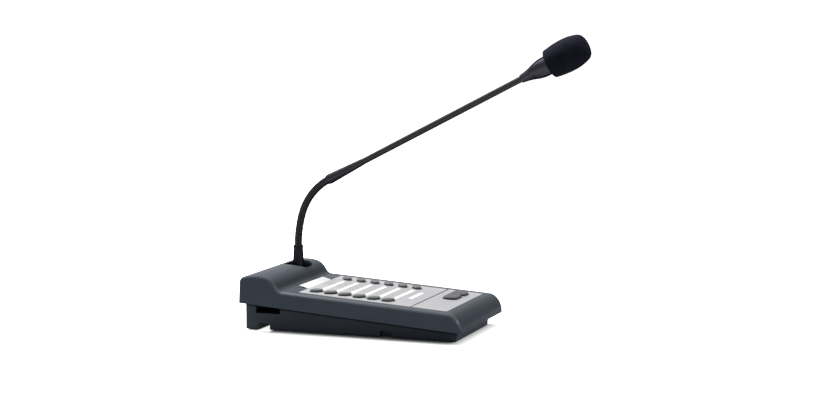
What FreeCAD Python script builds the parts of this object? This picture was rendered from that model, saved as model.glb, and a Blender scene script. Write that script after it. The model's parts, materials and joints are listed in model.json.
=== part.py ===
import FreeCAD, Part
import math
import os

# Desk paging microphone: a wedge-shaped console with two rows of zone keys, a pair of
# speak keys and a flexible neck that carries the microphone head over the front.
#
# Frame: X to the user's right, Y away from the user, Z up, in millimetres. The origin is
# the middle of the console's footprint, on the face that rests on the desk. Places along
# the console are given as a distance from the rear edge of its cover, "from the rear".

Vector = FreeCAD.Vector
X_AXIS = Vector(1, 0, 0)

# Cover
COVER_WIDTH = 135.3
COVER_LENGTH = 232.8
COVER_WALL = 2.4
COVER_EDGE_ROUND = 3.2
COVER_REAR_EDGE_Z = 29.6
COVER_FRONT_EDGE_Z = 12.3
CREST_Z = 57.3
CREST_REAR_RADIUS = 60.8
CREST_REAR_SLOPE = 13.0
CREST_FRONT_RADIUS = 45.0
CREST_FRONT_SLOPE = 12.0
REAR_CORNER_RADIUS = 6.0
REAR_DRAFT = 2.4
SHOULDER_RADIUS = 17.0
SHOULDER_SLOPE = 60.0
SHOULDER_FLAT = 2.0
TOE_RADIUS = 7.5
PANEL_SLOPE = 3.8
NOSE_UPPER_RADIUS = 12.0
NOSE_LOWER_RADIUS = 19.0
NOSE_BREAK_SLOPE = 40.0
NOSE_END_SLOPE = 90.0

# Base tray under the cover
TRAY_WIDTH = 99.0
TRAY_REAR_INSET = 0.5
TRAY_FOOT_LENGTH = 221.6
TRAY_FRONT_LEAN = 2.0
TRAY_WALL = 2.4
TRAY_FLOOR = 2.4
TRAY_LIFT = 0.6
TRAY_EDGE_ROUND = 1.2
FLANGE_THICKNESS = 2.4
FLANGE_RECESS = 0.8
REAR_LEDGE_Z = 25.0
COVER_TO_TRAY_GAP = 0.25
SHADOW_GROOVE_HEIGHT = 1.8
SHADOW_GROOVE_DEPTH = 1.3
BAY_LENGTH = 49.3
BAY_HEIGHT = 14.5
BAY_CEILING = 2.0

# Openings in the tray's flanks and rear
NOTCH_HEIGHT = 7.0
REAR_NOTCH_FROM_REAR = 14.2
REAR_NOTCH_LENGTH = 12.1
FRONT_NOTCH_FROM_REAR = 143.6
FRONT_NOTCH_LENGTH = 12.3
FRONT_NOTCH_DEPTH = 6.0
FLANK_SLOT_FROM_REAR = 11.1
FLANK_SLOT_LENGTH = 26.3
FLANK_SLOT_Z = 17.2
REAR_EXIT_WIDTH = 30.0
CABLE_RIB_LENGTH = 31.5
CABLE_RIB_THICKNESS = 2.0

# Rubber mat that the console rests on
MAT_WIDTH = 76.0
MAT_FROM_REAR = 63.8
MAT_LENGTH = 143.0
MAT_THICKNESS = 1.5
MAT_CORNER = 6.0

# Console screws
SCREW_X = 42.5
REAR_SCREW_PAST_BAY = 6.1
FRONT_SCREW_FROM_REAR = 210.3
SCREW_RADIUS = 1.5
SCREW_LENGTH = 18.0
SCREW_HEAD_RADIUS = 2.8
SCREW_HEAD_HEIGHT = 2.0
SCREW_SEAT_Z = 5.0
SCREW_FIT = 0.03
SCREW_PASSAGE = 0.2
BOSS_RADIUS = 3.5
BOSS_JOINT_Z = 12.5
BOSS_GAP = 0.1

# Steel ballast plate on the tray floor
BALLAST_WIDTH = 72.0
BALLAST_FROM_REAR = 79.8
BALLAST_LENGTH = 124.0
BALLAST_THICKNESS = 3.0
BALLAST_CORNER = 5.0
BALLAST_PIN_INSET = 8.0
PIN_RADIUS = 2.0
PIN_PASSAGE = 0.2
PIN_STAND = 1.6
CLIP_RADIUS = 5.0
CLIP_THICKNESS = 0.6

# Front films on the sloping panel, with their label windows
PANEL_WIDTH = 113.0
PANEL_FROM_REAR = 60.5
PANEL_LENGTH = 155.0
FILM_THICKNESS = 0.5
FILM_CORNER = 1.2
FILM_GAP = 0.3
DIVIDER_ALONG = 117.2
DIVIDER_WIDTH = 1.6
ROW_COUNT = 6
FIRST_ROW_ALONG = 14.2
ROW_PITCH = 15.2
WINDOW_LENGTH = 58.0
WINDOW_WIDTH = 4.4
SHORT_WINDOW_LENGTH = 37.0
SHORT_WINDOW_X = 1.5
SHORT_WINDOW_ALONG = 102.8
WINDOW_GAP = 0.05

# Paper label under the film, with the tab that sticks out behind the panel
LABEL_WIDTH = 61.0
LABEL_THICKNESS = 0.25
LABEL_END_ALONG = 107.0
LABEL_TAB = 10.2
LABEL_TAB_LIFT = 1.7
LABEL_TAB_SHARE = 0.62
LABEL_CHANNEL_GAP = 0.05
LABEL_CHANNEL_RUN_OUT = 5.0

# Zone keys
KEY_X = 41.5
KEY_BEHIND_WINDOW = 1.2
KEY_HALF_LENGTH = 7.5
KEY_HALF_WIDTH = 4.4
KEY_TURN = 31.0
KEY_STAND = 2.3
KEY_TOP_ROUND = 0.9
KEY_SLEEVE = 0.3
KEY_FLANGE_LIP = 1.0
KEY_FLANGE_THICKNESS = 1.2
KEY_SEAT_GAP = 0.05
KEY_STEM_RADIUS = 2.6
KEY_NIB_RADIUS = 1.6
KEY_NIB_REACH = 1.3
KEY_TRAVEL = 0.8

# Speak keys, side by side on the front film
SPEAK_KEY_STAND = 2.3
SPEAK_KEY_REAR_ALONG = 129.4
SPEAK_KEY_GAP = 0.4
TALK_KEY_OUTER_X = 2.2
TALK_KEY_INNER_X = 26.4
TALK_KEY_DEPTH = 13.9
SELECT_KEY_OUTER_X = 48.6
SELECT_KEY_DEPTH = 14.6
SPEAK_KEY_REAR_ROUND = 5.5
SPEAK_KEY_FRONT_ROUND = 7.6
SPEAK_KEY_NOTCH_ROUND = 5.0
SPEAK_KEY_INNER_ROUND = 0.8

# Circuit board hung under the panel
BOARD_DROP = 6.0
BOARD_THICKNESS = 1.6
BOARD_WIDTH = 109.0
BOARD_CORNER = 1.0
BOARD_START_ALONG = 4.0
BOARD_END_ALONG = 146.5
BOARD_BOSS_X = 33.0
BOARD_BOSS_ROWS = (1, 4)
BOARD_BOSS_LAST_ALONG = 112.0
BOARD_BOSS_RADIUS = 2.8
SMALL_SCREW_RADIUS = 1.0
SMALL_SCREW_LENGTH = 6.0
SMALL_SCREW_HEAD_RADIUS = 1.9
SMALL_SCREW_HEAD_HEIGHT = 1.4
SWITCH_SIDE = 6.0
SWITCH_HEIGHT = 3.5
SWITCH_BORE_DEPTH = 2.6
SWITCH_BORE_CLEARANCE = 0.1
LAMP_RADIUS = 1.0
LAMP_X = 49.5
LAMP_BEFORE_WINDOW = 2.6
LAMP_GAP = 0.05

# Connector board behind the cable bay
LINK_BOARD_X = 2.7
LINK_BOARD_WIDTH = 72.0
LINK_BOARD_LENGTH = 21.0
LINK_BOARD_Z = 18.0
LINK_POST_RADIUS = 3.0
LINK_POST_INSET = 3.6
DATA_SOCKET_WIDTH = 16.0
DATA_SOCKET_LENGTH = 16.0
DATA_SOCKET_HEIGHT = 13.2
DATA_SOCKET_X = (-14.0, 5.0)
DATA_PORT_WIDTH = 11.8
DATA_PORT_HEIGHT = 7.4
DATA_PORT_DEPTH = 12.0
DATA_KEYWAY_WIDTH = 6.2
DATA_KEYWAY_HEIGHT = 2.2
POWER_SOCKET_X = 25.0
POWER_SOCKET_WIDTH = 9.0
POWER_SOCKET_HEIGHT = 11.0
POWER_SOCKET_LENGTH = 14.0
POWER_BORE_RADIUS = 3.2
POWER_BORE_DEPTH = 9.5
POWER_PIN_RADIUS = 1.0
SOCKET_CLEARANCE = 0.2
STACK_HEADER_X = -8.0
STACK_HEADER_WIDTH = 26.0
STACK_HEADER_LENGTH = 5.0
LEAD_PLUG_FROM_BOARD_EDGE = 5.7
LEAD_PLUG_WIDTH = 9.0
LEAD_PLUG_LENGTH = 7.0
LEAD_PLUG_HEIGHT = 6.5
LEAD_PLUG_INSET = 7.0

# Well in the crest and the cup under it that holds the neck
NECK_FROM_COVER_SIDE = 34.65
NECK_FROM_REAR = 22.6
WELL_LENGTH = 36.0
WELL_WIDTH = 24.0
CUP_WALL = 1.6
CUP_FLOOR_Z = 41.0
CUP_FLOOR = 3.0
CUP_COVER_GAP = 0.1
CUP_EAR = 8.0
CUP_EAR_RADIUS = 4.2
CUP_SCREW_LENGTH = 10.0
STEM_RADIUS = 5.0
STEM_CLEARANCE = 0.1
STEM_BORE = 1.8
STEM_BELOW_FLOOR = 7.5
STEM_COLLAR_RADIUS = 7.5
STEM_COLLAR = 2.0
STEM_SPIGOT = 7.0
WASHER_RADIUS = 8.5
WASHER_THICKNESS = 1.0
NUT_ACROSS_FLATS = 14.0
NUT_HEIGHT = 4.0

# Strain-relief boot
BOOT_BOTTOM_RADIUS = 6.5
BOOT_TOP_RADIUS = 4.8
BOOT_LIP_RADIUS = 5.15
BOOT_LIP = 1.6
BOOT_LIP_RISE = 0.4
BOOT_LIP_CHAMFER = 0.5
BOOT_TOP_Z = 75.5

# Flexible neck: vertical, then two bends towards the user, then straight
BEND_START_Z = 75.2
LOWER_BEND_RADIUS = 120.0
LOWER_BEND_TURN = 15.8
UPPER_BEND_RADIUS = 59.8
UPPER_BEND_TURN = 46.7
HOSE_RADIUS = 4.0
HOSE_VALLEY_RADIUS = 3.6
HOSE_END_RADIUS = 3.1
RIB_FOOT_SHARE = 0.15
RIB_CREST_SHARE = 0.35
HOSE_BORE = 1.75
HINGE_COUNT = 9
HINGE_GAP = 0.72
FIRST_HINGE_ALONG = 3.4
HINGE_PITCH = 9.2
RIBS_PER_LINK = 5
HOSE_CLEARANCE = 0.15
LEAD_RADIUS = 1.3
LEAD_BEND = 8.0

# Collar, arm tube and microphone head, along the straight from the end of the bends
COLLAR_START = -1.8
COLLAR_LENGTH = 43.0
COLLAR_RADIUS = 5.2
COLLAR_TIP_RADIUS = 3.4
COLLAR_NOSE = 3.5
COLLAR_RIM = 0.3
COLLAR_BULGE_INSET = 0.3
COLLAR_BULGE_SHARE = 0.4
HOSE_INTO_COLLAR = 9.0
TUBE_RADIUS = 3.1
TUBE_WALL = 0.8
HEAD_START = 230.7
TUBE_INTO_HEAD = 12.0
TUBE_CLEARANCE = 0.05
HEAD_START_RADIUS = 4.2
HEAD_RADIUS = 9.8
HEAD_FLARE = 27.0
HEAD_HOLLOW = 0.35
HEAD_SWELL = 0.6
HEAD_LENGTH = 42.0
HEAD_BORE = 8.2
HEAD_BORE_START = 22.0
HEAD_BORE_CONE = 3.0
HEAD_LEAD_BORE = 2.0
CAPSULE_RADIUS = 5.0
CAPSULE_START = 29.0
CAPSULE_LENGTH = 10.0
CAPSULE_ROUND = 0.5
RING_START = 30.0
RING_LENGTH = 8.0
RING_CLEARANCE = 0.1
GRILLE_WALL = 0.8
GRILLE_DOME = 5.0
GRILLE_SPIGOT = 3.0
GRILLE_HOLE_RADIUS = 0.9
GRILLE_RING_RADII = (2.6, 5.4)
GRILLE_RING_COUNTS = (6, 12)
FOAM_START = 32.6
FOAM_LENGTH = 43.0
FOAM_BACK_RADIUS = 14.6
FOAM_RADIUS = 16.6
FOAM_WIDEST = 20.2
FOAM_BACK_ROUND = 0.5
FOAM_SIDE_RADIUS = 50.0
FOAM_KNUCKLE_RADIUS = 8.0
FOAM_CROWN_RADIUS = 30.0
FOAM_CAVITY_DEPTH = 17.0
FOAM_CAVITY_CROWN = 14.0
FOAM_CAVITY_GAP = 0.3

# Helper bodies: longer than the console, and the cover's outline run on below its edge
FAR = 400.0
OUTER_SKIRT = 20.0
INNER_SKIRT = 40.0
ABOVE_TRAY_Z = 50.0
ROUNDING = 0.01

# Worked out from the sizes above
REAR_Y = TRAY_REAR_INSET + TRAY_FOOT_LENGTH / 2
HALF_COVER = COVER_WIDTH / 2
HALF_TRAY = TRAY_WIDTH / 2
PARTING_FALL = (COVER_REAR_EDGE_Z - COVER_FRONT_EDGE_Z) / COVER_LENGTH
PARTING_SLOPE = math.degrees(math.atan(PARTING_FALL))
NECK_X = HALF_COVER - NECK_FROM_COVER_SIDE
LEAD_PLUG_X = LINK_BOARD_X + LINK_BOARD_WIDTH / 2 - LEAD_PLUG_FROM_BOARD_EDGE
NECK_Y = REAR_Y - NECK_FROM_REAR
REAR_SCREW_FROM_REAR = BAY_LENGTH + TRAY_WALL + REAR_SCREW_PAST_BAY
BOARD_TOP = -COVER_WALL - BOARD_DROP
SWITCH_TOP = BOARD_TOP + SWITCH_HEIGHT
LOWER_BEND_LENGTH = LOWER_BEND_RADIUS * math.radians(LOWER_BEND_TURN)
NECK_LENGTH = LOWER_BEND_LENGTH + UPPER_BEND_RADIUS * math.radians(UPPER_BEND_TURN)


def sin(angle):
    return math.sin(math.radians(angle))


def cos(angle):
    return math.cos(math.radians(angle))


def parting_z(from_rear):
    """Height of the cover's lower edge at a distance from the rear."""
    return COVER_REAR_EDGE_Z - PARTING_FALL * from_rear


class Outline:
    """A side outline of lines and tangent arcs, walked in the plane of from-rear and height.

    The heading is the slope above the horizontal, towards the front. An inset walks the
    parallel outline inside the same one.
    """

    def __init__(self, from_rear, z, heading, inset=0.0):
        self.heading = heading
        self.inset = inset
        self.at = (from_rear + inset * sin(heading), z - inset * cos(heading))
        self.edges = []

    def vector(self, point):
        return Vector(0, REAR_Y - point[0], point[1])

    def line_to(self, from_rear, z):
        target = (from_rear, z)
        self.edges.append(Part.LineSegment(self.vector(self.at), self.vector(target)).toShape())
        self.at = target

    def straight(self, length):
        self.line_to(self.at[0] + length * cos(self.heading), self.at[1] + length * sin(self.heading))

    def arc(self, radius, heading):
        """Turn to a new heading; downwards is convex, upwards is hollow."""
        side = 1.0 if heading < self.heading else -1.0
        true_radius = radius - side * self.inset
        start, end, middle = self.heading, heading, (self.heading + heading) / 2

        def on_arc(angle):
            return (
                self.at[0] + side * true_radius * (sin(start) - sin(angle)),
                self.at[1] + side * true_radius * (cos(angle) - cos(start)),
            )

        through, target = on_arc(middle), on_arc(end)
        arc = Part.Arc(self.vector(self.at), self.vector(through), self.vector(target))
        self.edges.append(arc.toShape())
        self.at = target
        self.heading = heading

    def prism(self, half_width):
        """Close the outline and extrude it across the console."""
        first = self.edges[0].Vertexes[0].Point
        last = self.vector(self.at)
        edges = self.edges + [Part.LineSegment(last, first).toShape()]
        face = Part.Face(Part.Wire(edges))
        face.translate(Vector(-half_width, 0, 0))
        return face.extrude(Vector(2 * half_width, 0, 0))


def rear_wall_top():
    """Height at which the rear wall turns into the rear corner."""
    crest_drop = CREST_REAR_RADIUS * (1 - cos(CREST_REAR_SLOPE))
    corner_drop = REAR_CORNER_RADIUS * (cos(CREST_REAR_SLOPE) - cos(90 - REAR_DRAFT))
    return CREST_Z - crest_drop - corner_drop


def panel_start():
    """From-rear and height of the point where the hollow behind the panel ends."""
    rise = rear_wall_top() - COVER_REAR_EDGE_Z
    at = rise * math.tan(math.radians(REAR_DRAFT))
    at += REAR_CORNER_RADIUS * (sin(90 - REAR_DRAFT) - sin(CREST_REAR_SLOPE))
    at += CREST_REAR_RADIUS * sin(CREST_REAR_SLOPE) + CREST_FRONT_RADIUS * sin(CREST_FRONT_SLOPE)
    at += SHOULDER_RADIUS * (sin(SHOULDER_SLOPE) - sin(CREST_FRONT_SLOPE))
    at += SHOULDER_FLAT * cos(SHOULDER_SLOPE)
    at += TOE_RADIUS * (sin(SHOULDER_SLOPE) - sin(PANEL_SLOPE))
    z = CREST_Z - CREST_FRONT_RADIUS * (1 - cos(CREST_FRONT_SLOPE))
    z -= SHOULDER_RADIUS * (cos(CREST_FRONT_SLOPE) - cos(SHOULDER_SLOPE))
    z -= SHOULDER_FLAT * sin(SHOULDER_SLOPE)
    z -= TOE_RADIUS * (cos(PANEL_SLOPE) - cos(SHOULDER_SLOPE))
    return at, z


PANEL_START_FROM_REAR, PANEL_START_Z = panel_start()


def panel_z(from_rear):
    """Height of the cover's flat panel."""
    return PANEL_START_Z - (from_rear - PANEL_START_FROM_REAR) * math.tan(math.radians(PANEL_SLOPE))


def cover_body(inset, half_width, below):
    """The cover's outer shape, or the parallel one inside it, down past its lower edge."""
    nose = NOSE_UPPER_RADIUS * (sin(NOSE_BREAK_SLOPE) - sin(PANEL_SLOPE))
    nose += NOSE_LOWER_RADIUS * (sin(NOSE_END_SLOPE) - sin(NOSE_BREAK_SLOPE))
    run = (COVER_LENGTH - nose - PANEL_START_FROM_REAR) / cos(PANEL_SLOPE)
    skirt = below / cos(REAR_DRAFT)
    foot = -below * math.tan(math.radians(REAR_DRAFT))
    outline = Outline(foot, COVER_REAR_EDGE_Z - below, 90 - REAR_DRAFT, inset)
    outline.straight(skirt + (rear_wall_top() - COVER_REAR_EDGE_Z) / cos(REAR_DRAFT))
    outline.arc(REAR_CORNER_RADIUS, CREST_REAR_SLOPE)
    outline.arc(CREST_REAR_RADIUS, 0.0)
    outline.arc(CREST_FRONT_RADIUS, -CREST_FRONT_SLOPE)
    outline.arc(SHOULDER_RADIUS, -SHOULDER_SLOPE)
    outline.straight(SHOULDER_FLAT)
    outline.arc(TOE_RADIUS, -PANEL_SLOPE)
    outline.straight(run)
    outline.arc(NOSE_UPPER_RADIUS, -NOSE_BREAK_SLOPE)
    outline.arc(NOSE_LOWER_RADIUS, -NOSE_END_SLOPE)
    outline.line_to(outline.at[0], COVER_REAR_EDGE_Z - below)
    return outline.prism(half_width)


def above_parting(lift, thickness=FAR):
    """A slab that lies along the sloping lower edge, lifted above it."""
    slab = Part.makeBox(FAR, FAR, thickness, Vector(-FAR / 2, -FAR, 0))
    slab.rotate(Vector(0, 0, 0), X_AXIS, PARTING_SLOPE)
    slab.translate(Vector(0, REAR_Y, COVER_REAR_EDGE_Z + lift))
    overhang = slab.copy()
    overhang.translate(Vector(0, FAR / 2 * cos(PARTING_SLOPE), FAR / 2 * sin(PARTING_SLOPE)))
    return slab.fuse(overhang).removeSplitter()


def block(x0, x1, rear, front, z0, z1):
    """A box between two X values, two distances from the rear and two heights."""
    return Part.makeBox(x1 - x0, front - rear, z1 - z0, Vector(x0, REAR_Y - front, z0))


def post(x, from_rear, radius, z0, z1):
    """An upright cylinder."""
    return Part.makeCylinder(radius, z1 - z0, Vector(x, REAR_Y - from_rear, z0))


def panel_place(shape):
    """Move a shape from panel coordinates to the console.

    In panel coordinates x is across, y runs from the panel's rear edge towards the front
    as a negative number, and z is the height above the cover's flat top.
    """
    placed = shape.copy()
    placed.rotate(Vector(0, 0, 0), X_AXIS, PANEL_SLOPE)
    placed.translate(Vector(0, REAR_Y - PANEL_FROM_REAR, panel_z(PANEL_FROM_REAR)))
    return placed


def oval_face(x, along, half_length, half_width, turn, grow=0.0):
    """An ellipse in panel coordinates, its long axis turned from X."""
    ellipse = Part.Ellipse(Vector(0, 0, 0), half_length + grow, half_width + grow)
    face = Part.Face(Part.Wire([ellipse.toShape()]))
    face.rotate(Vector(0, 0, 0), Vector(0, 0, 1), turn)
    face.translate(Vector(x, -along, 0))
    return face


def slab_face(x0, x1, along0, along1, corner):
    """A rectangle with round corners in panel coordinates."""
    box = Part.makeBox(x1 - x0, along1 - along0, 1, Vector(x0, -along1, 0))
    upright = [e for e in box.Edges if abs(e.Vertexes[0].Z - e.Vertexes[-1].Z) > 0.5]
    if corner > 0:
        box = box.makeFillet(corner, upright)
    bottom = min(box.Faces, key=lambda f: f.CenterOfMass.z)
    return Part.Face(bottom.OuterWire)


def raised(face, z0, z1):
    """Extrude a flat face from one height to another."""
    low = face.copy()
    low.translate(Vector(0, 0, z0))
    return low.extrude(Vector(0, 0, z1 - z0))


def disc(x, along, radius, z0, z1):
    """A cylinder in panel coordinates."""
    return Part.makeCylinder(radius, z1 - z0, Vector(x, -along, z0))


def turned(points):
    """Turn an outline of (radius, height) points about the Z axis."""
    corners = [Vector(r, 0, z) for r, z in points]
    face = Part.Face(Part.makePolygon(corners + corners[:1]))
    return face.revolve(Vector(0, 0, 0), Vector(0, 0, 1), 360)


def union(shapes):
    """Fuse a list of solids into one."""
    first = shapes[0]
    return first.multiFuse(shapes[1:]).removeSplitter() if len(shapes) > 1 else first


# Zone keys, speak keys and their places on the panel


def row_along(row):
    return FIRST_ROW_ALONG + ROW_PITCH * row


class Key:
    """A moulded key that stands out of the panel, with a flange that keeps it in."""

    def __init__(self, x, along, stand):
        self.x = x
        self.along = along
        self.stand = stand

    def flange_face(self):
        return self.face(KEY_SLEEVE + KEY_FLANGE_LIP)

    def hole(self, z0, z1):
        return raised(self.face(KEY_SLEEVE), z0, z1)

    def solid(self):
        flange_top = -COVER_WALL - KEY_SEAT_GAP
        flange_bottom = flange_top - KEY_FLANGE_THICKNESS
        cap = raised(self.face(), flange_top, self.stand)
        rim = [e for e in cap.Edges if e.BoundBox.ZMin > self.stand - ROUNDING]
        cap = cap.makeFillet(KEY_TOP_ROUND, rim)
        flange = raised(self.flange_face(), flange_bottom, flange_top)
        stem_end = SWITCH_TOP + KEY_TRAVEL + KEY_SEAT_GAP
        pieces = [cap, flange]
        if stem_end < flange_bottom:
            pieces.append(disc(self.x, self.along, KEY_STEM_RADIUS, stem_end, flange_bottom))
        nib_end = SWITCH_TOP - KEY_NIB_REACH
        pieces.append(disc(self.x, self.along, KEY_NIB_RADIUS, nib_end, flange_bottom))
        return panel_place(union(pieces))


class ZoneKey(Key):
    """A slanted oval key of the two rows."""

    def __init__(self, side, row):
        super().__init__(side * KEY_X, row_along(row) - KEY_BEHIND_WINDOW, KEY_STAND)
        self.turn = side * KEY_TURN

    def face(self, grow=0.0):
        return oval_face(self.x, self.along, KEY_HALF_LENGTH, KEY_HALF_WIDTH, self.turn, grow)


class SpeakKey(Key):
    """One of the pair of keys that share a straight rear edge and meet side by side."""

    def __init__(self, outer_x, inner_x, depth):
        super().__init__((outer_x + inner_x) / 2, SPEAK_KEY_REAR_ALONG + depth / 2, SPEAK_KEY_STAND)
        self.outer_x = outer_x
        self.inner_x = inner_x
        self.depth = depth

    def face(self, grow=0.0):
        """Corner radii differ: full at the outer end, small where the keys meet."""
        outwards = 1 if self.outer_x > self.inner_x else -1
        outer = self.outer_x + outwards * grow
        inner = self.inner_x - outwards * grow
        rear = -SPEAK_KEY_REAR_ALONG + grow
        front = -SPEAK_KEY_REAR_ALONG - self.depth - grow
        corners = [
            (inner, rear, SPEAK_KEY_INNER_ROUND + grow),
            (outer, rear, SPEAK_KEY_REAR_ROUND + grow),
            (outer, front, SPEAK_KEY_FRONT_ROUND + grow),
            (inner, front, SPEAK_KEY_NOTCH_ROUND + grow),
        ]
        return rounded_face(corners)

    def flange_face(self):
        """No lip on the side where the other key is."""
        wide = super().flange_face()
        reach = 2 * abs(self.outer_x - self.inner_x)
        start = min(self.inner_x, self.inner_x + math.copysign(reach, self.outer_x - self.inner_x))
        return wide.common(raised(slab_face(start, start + reach, 0, PANEL_LENGTH, 0), -1, 1)).Faces[0]


def rounded_face(corners):
    """A flat face with straight sides and a round of its own at each corner."""
    points = [Vector(x, y, 0) for x, y, _ in corners]
    starts, ends, edges = [], [], []
    for index, (_, _, radius) in enumerate(corners):
        here, before, after = points[index], points[index - 1], points[(index + 1) % len(points)]
        to_before = (before - here).normalize() * radius
        to_after = (after - here).normalize() * radius
        middle = here + (to_before + to_after) * (1 - math.sqrt(0.5))
        starts.append(here + to_before)
        ends.append(here + to_after)
        edges.append(Part.Arc(starts[-1], middle, ends[-1]).toShape())
    for index, start in enumerate(starts):
        edges.insert(2 * index, Part.LineSegment(ends[index - 1], start).toShape())
    return Part.Face(Part.Wire(edges))


def zone_keys():
    """Named keys of both rows, from the rear to the front."""
    return {
        "zone_key_%s_%d" % (name, row + 1): ZoneKey(side, row)
        for side, name in ((-1, "left"), (1, "right"))
        for row in range(ROW_COUNT)
    }


def speak_keys():
    return {
        "talk_key": SpeakKey(TALK_KEY_OUTER_X, TALK_KEY_INNER_X, TALK_KEY_DEPTH),
        "select_key": SpeakKey(SELECT_KEY_OUTER_X, TALK_KEY_INNER_X + SPEAK_KEY_GAP, SELECT_KEY_DEPTH),
    }


KEYS = {**zone_keys(), **speak_keys()}


def lamp_places():
    """Across and along of the lamp beside each zone key."""
    alongs = [row_along(row) + LAMP_BEFORE_WINDOW for row in range(ROW_COUNT)]
    return [(side * LAMP_X, along) for side in (-1, 1) for along in alongs]


def window_faces(shrink=0.0):
    """The label windows: one across each row of keys, and a short one below them."""
    places = [(0.0, row_along(row), WINDOW_LENGTH) for row in range(ROW_COUNT)]
    places.append((SHORT_WINDOW_X, SHORT_WINDOW_ALONG, SHORT_WINDOW_LENGTH))
    half = WINDOW_WIDTH / 2 - shrink
    return [
        slab_face(x - length / 2 + shrink, x + length / 2 - shrink, along - half, along + half, 0)
        for x, along, length in places
    ]


def speak_film_start():
    return DIVIDER_ALONG + DIVIDER_WIDTH


def film_face(start, end, grow):
    half = PANEL_WIDTH / 2 + grow
    return slab_face(-half, half, start - grow, end + grow, FILM_CORNER + grow)


def film_pockets():
    """The pocket in the cover for both films and the label channel under the rear one."""
    films = raised(film_face(0, PANEL_LENGTH, FILM_GAP), -FILM_THICKNESS, FILM_THICKNESS)
    half = LABEL_WIDTH / 2 + FILM_GAP
    channel = raised(
        slab_face(-half, half, -LABEL_CHANNEL_RUN_OUT, LABEL_END_ALONG + FILM_GAP, 0),
        -FILM_THICKNESS - LABEL_THICKNESS - LABEL_CHANNEL_GAP,
        FILM_THICKNESS,
    )
    return [films, channel]


# Cover


def board_boss_places():
    """Across and along of the bosses that carry the circuit board."""
    alongs = [row_along(row) + ROW_PITCH / 2 for row in BOARD_BOSS_ROWS] + [BOARD_BOSS_LAST_ALONG]
    return [(side * BOARD_BOSS_X, along) for side in (-1, 1) for along in alongs]


def screw_places():
    """X and from-rear of the four screws that hold the tray to the cover."""
    return [
        (side * SCREW_X, from_rear)
        for side in (-1, 1)
        for from_rear in (REAR_SCREW_FROM_REAR, FRONT_SCREW_FROM_REAR)
    ]


def well_face(grow):
    """The well's oval, seen from above: a slot with round ends."""
    radius = WELL_WIDTH / 2 + grow
    reach = (WELL_LENGTH - WELL_WIDTH) / 2
    box = Part.makeBox(2 * reach, 2 * radius, 1, Vector(NECK_X - reach, NECK_Y - radius, 0))
    ends = [Part.makeCylinder(radius, 1, Vector(NECK_X + side * reach, NECK_Y, 0)) for side in (-1, 1)]
    slot = union([box] + ends)
    bottom = min(slot.Faces, key=lambda f: f.CenterOfMass.z)
    return Part.Face(bottom.OuterWire)


def cup_screw_places():
    reach = WELL_LENGTH / 2 + CUP_EAR
    return [(NECK_X + side * reach, NECK_FROM_REAR) for side in (-1, 1)]


def top_cover():
    outer = cover_body(0.0, HALF_COVER, OUTER_SKIRT)
    edge_x = HALF_COVER - ROUNDING
    boxes = [(edge, edge.BoundBox) for edge in outer.Edges]
    flank = [(edge, box) for edge, box in boxes if box.XMin > edge_x or box.XMax < -edge_x]
    rims = [edge for edge, box in flank if box.ZMax > COVER_FRONT_EDGE_Z]
    outer = outer.makeFillet(COVER_EDGE_ROUND, rims)
    inner = cover_body(COVER_WALL, HALF_COVER - COVER_WALL, INNER_SKIRT)
    inside = cover_body(COVER_WALL / 2, HALF_COVER - COVER_WALL / 2, INNER_SKIRT)
    shell = outer.cut(inner).cut(below_parting())

    bosses = [post(x, d, BOSS_RADIUS, BOSS_JOINT_Z + BOSS_GAP, CREST_Z) for x, d in screw_places()]
    bosses += [post(x, d, BOSS_RADIUS, CUP_FLOOR_Z, CREST_Z) for x, d in cup_screw_places()]
    bosses += [
        panel_place(disc(x, along, BOARD_BOSS_RADIUS, BOARD_TOP, -COVER_WALL / 2))
        for x, along in board_boss_places()
    ]
    shell = union([shell] + [boss.common(inside) for boss in bosses])

    cuts = [panel_place(pocket) for pocket in film_pockets()]
    cuts += [panel_place(key.hole(-2 * COVER_WALL, COVER_WALL)) for key in KEYS.values()]
    cuts += [
        panel_place(disc(x, along, LAMP_RADIUS + LAMP_GAP, -2 * COVER_WALL, COVER_WALL))
        for x, along in lamp_places()
    ]
    cuts.append(raised(well_face(0.0), CUP_FLOOR_Z, CREST_Z + COVER_WALL))
    pilot = SCREW_RADIUS + SCREW_FIT
    cuts += [post(x, d, pilot, 0, SCREW_SEAT_Z + SCREW_LENGTH) for x, d in screw_places()]
    cup_tip = CUP_FLOOR_Z - CUP_FLOOR + CUP_SCREW_LENGTH
    cuts += [post(x, d, pilot, 0, cup_tip) for x, d in cup_screw_places()]
    small_pilot = SMALL_SCREW_RADIUS + SCREW_FIT
    tip = BOARD_TOP - BOARD_THICKNESS + SMALL_SCREW_LENGTH
    for x, along in board_boss_places():
        cuts.append(panel_place(disc(x, along, small_pilot, BOARD_TOP - 1, tip)))
    return shell.cut(cuts)


def below_parting():
    """Everything under the cover's sloping lower edge."""
    slab = Part.makeBox(FAR, 2 * FAR, FAR, Vector(-FAR / 2, -FAR, -FAR))
    slab.rotate(Vector(0, 0, 0), X_AXIS, PARTING_SLOPE)
    slab.translate(Vector(0, REAR_Y, COVER_REAR_EDGE_Z))
    return slab


# Base tray


def tray_body(inset, floor_z, rear):
    """The tub below the cover: a block with an upright rear and a leaning front."""
    front = TRAY_REAR_INSET + TRAY_FOOT_LENGTH - inset
    lean = TRAY_FRONT_LEAN / COVER_FRONT_EDGE_Z
    top = COVER_REAR_EDGE_Z + COVER_WALL
    corners = [
        (rear, floor_z),
        (rear, top),
        (front + lean * top, top),
        (front + lean * floor_z, floor_z),
    ]
    points = [Vector(inset - HALF_TRAY, REAR_Y - d, z) for d, z in corners]
    face = Part.Face(Part.makePolygon(points + points[:1]))
    return face.extrude(Vector(TRAY_WIDTH - 2 * inset, 0, 0))


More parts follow.
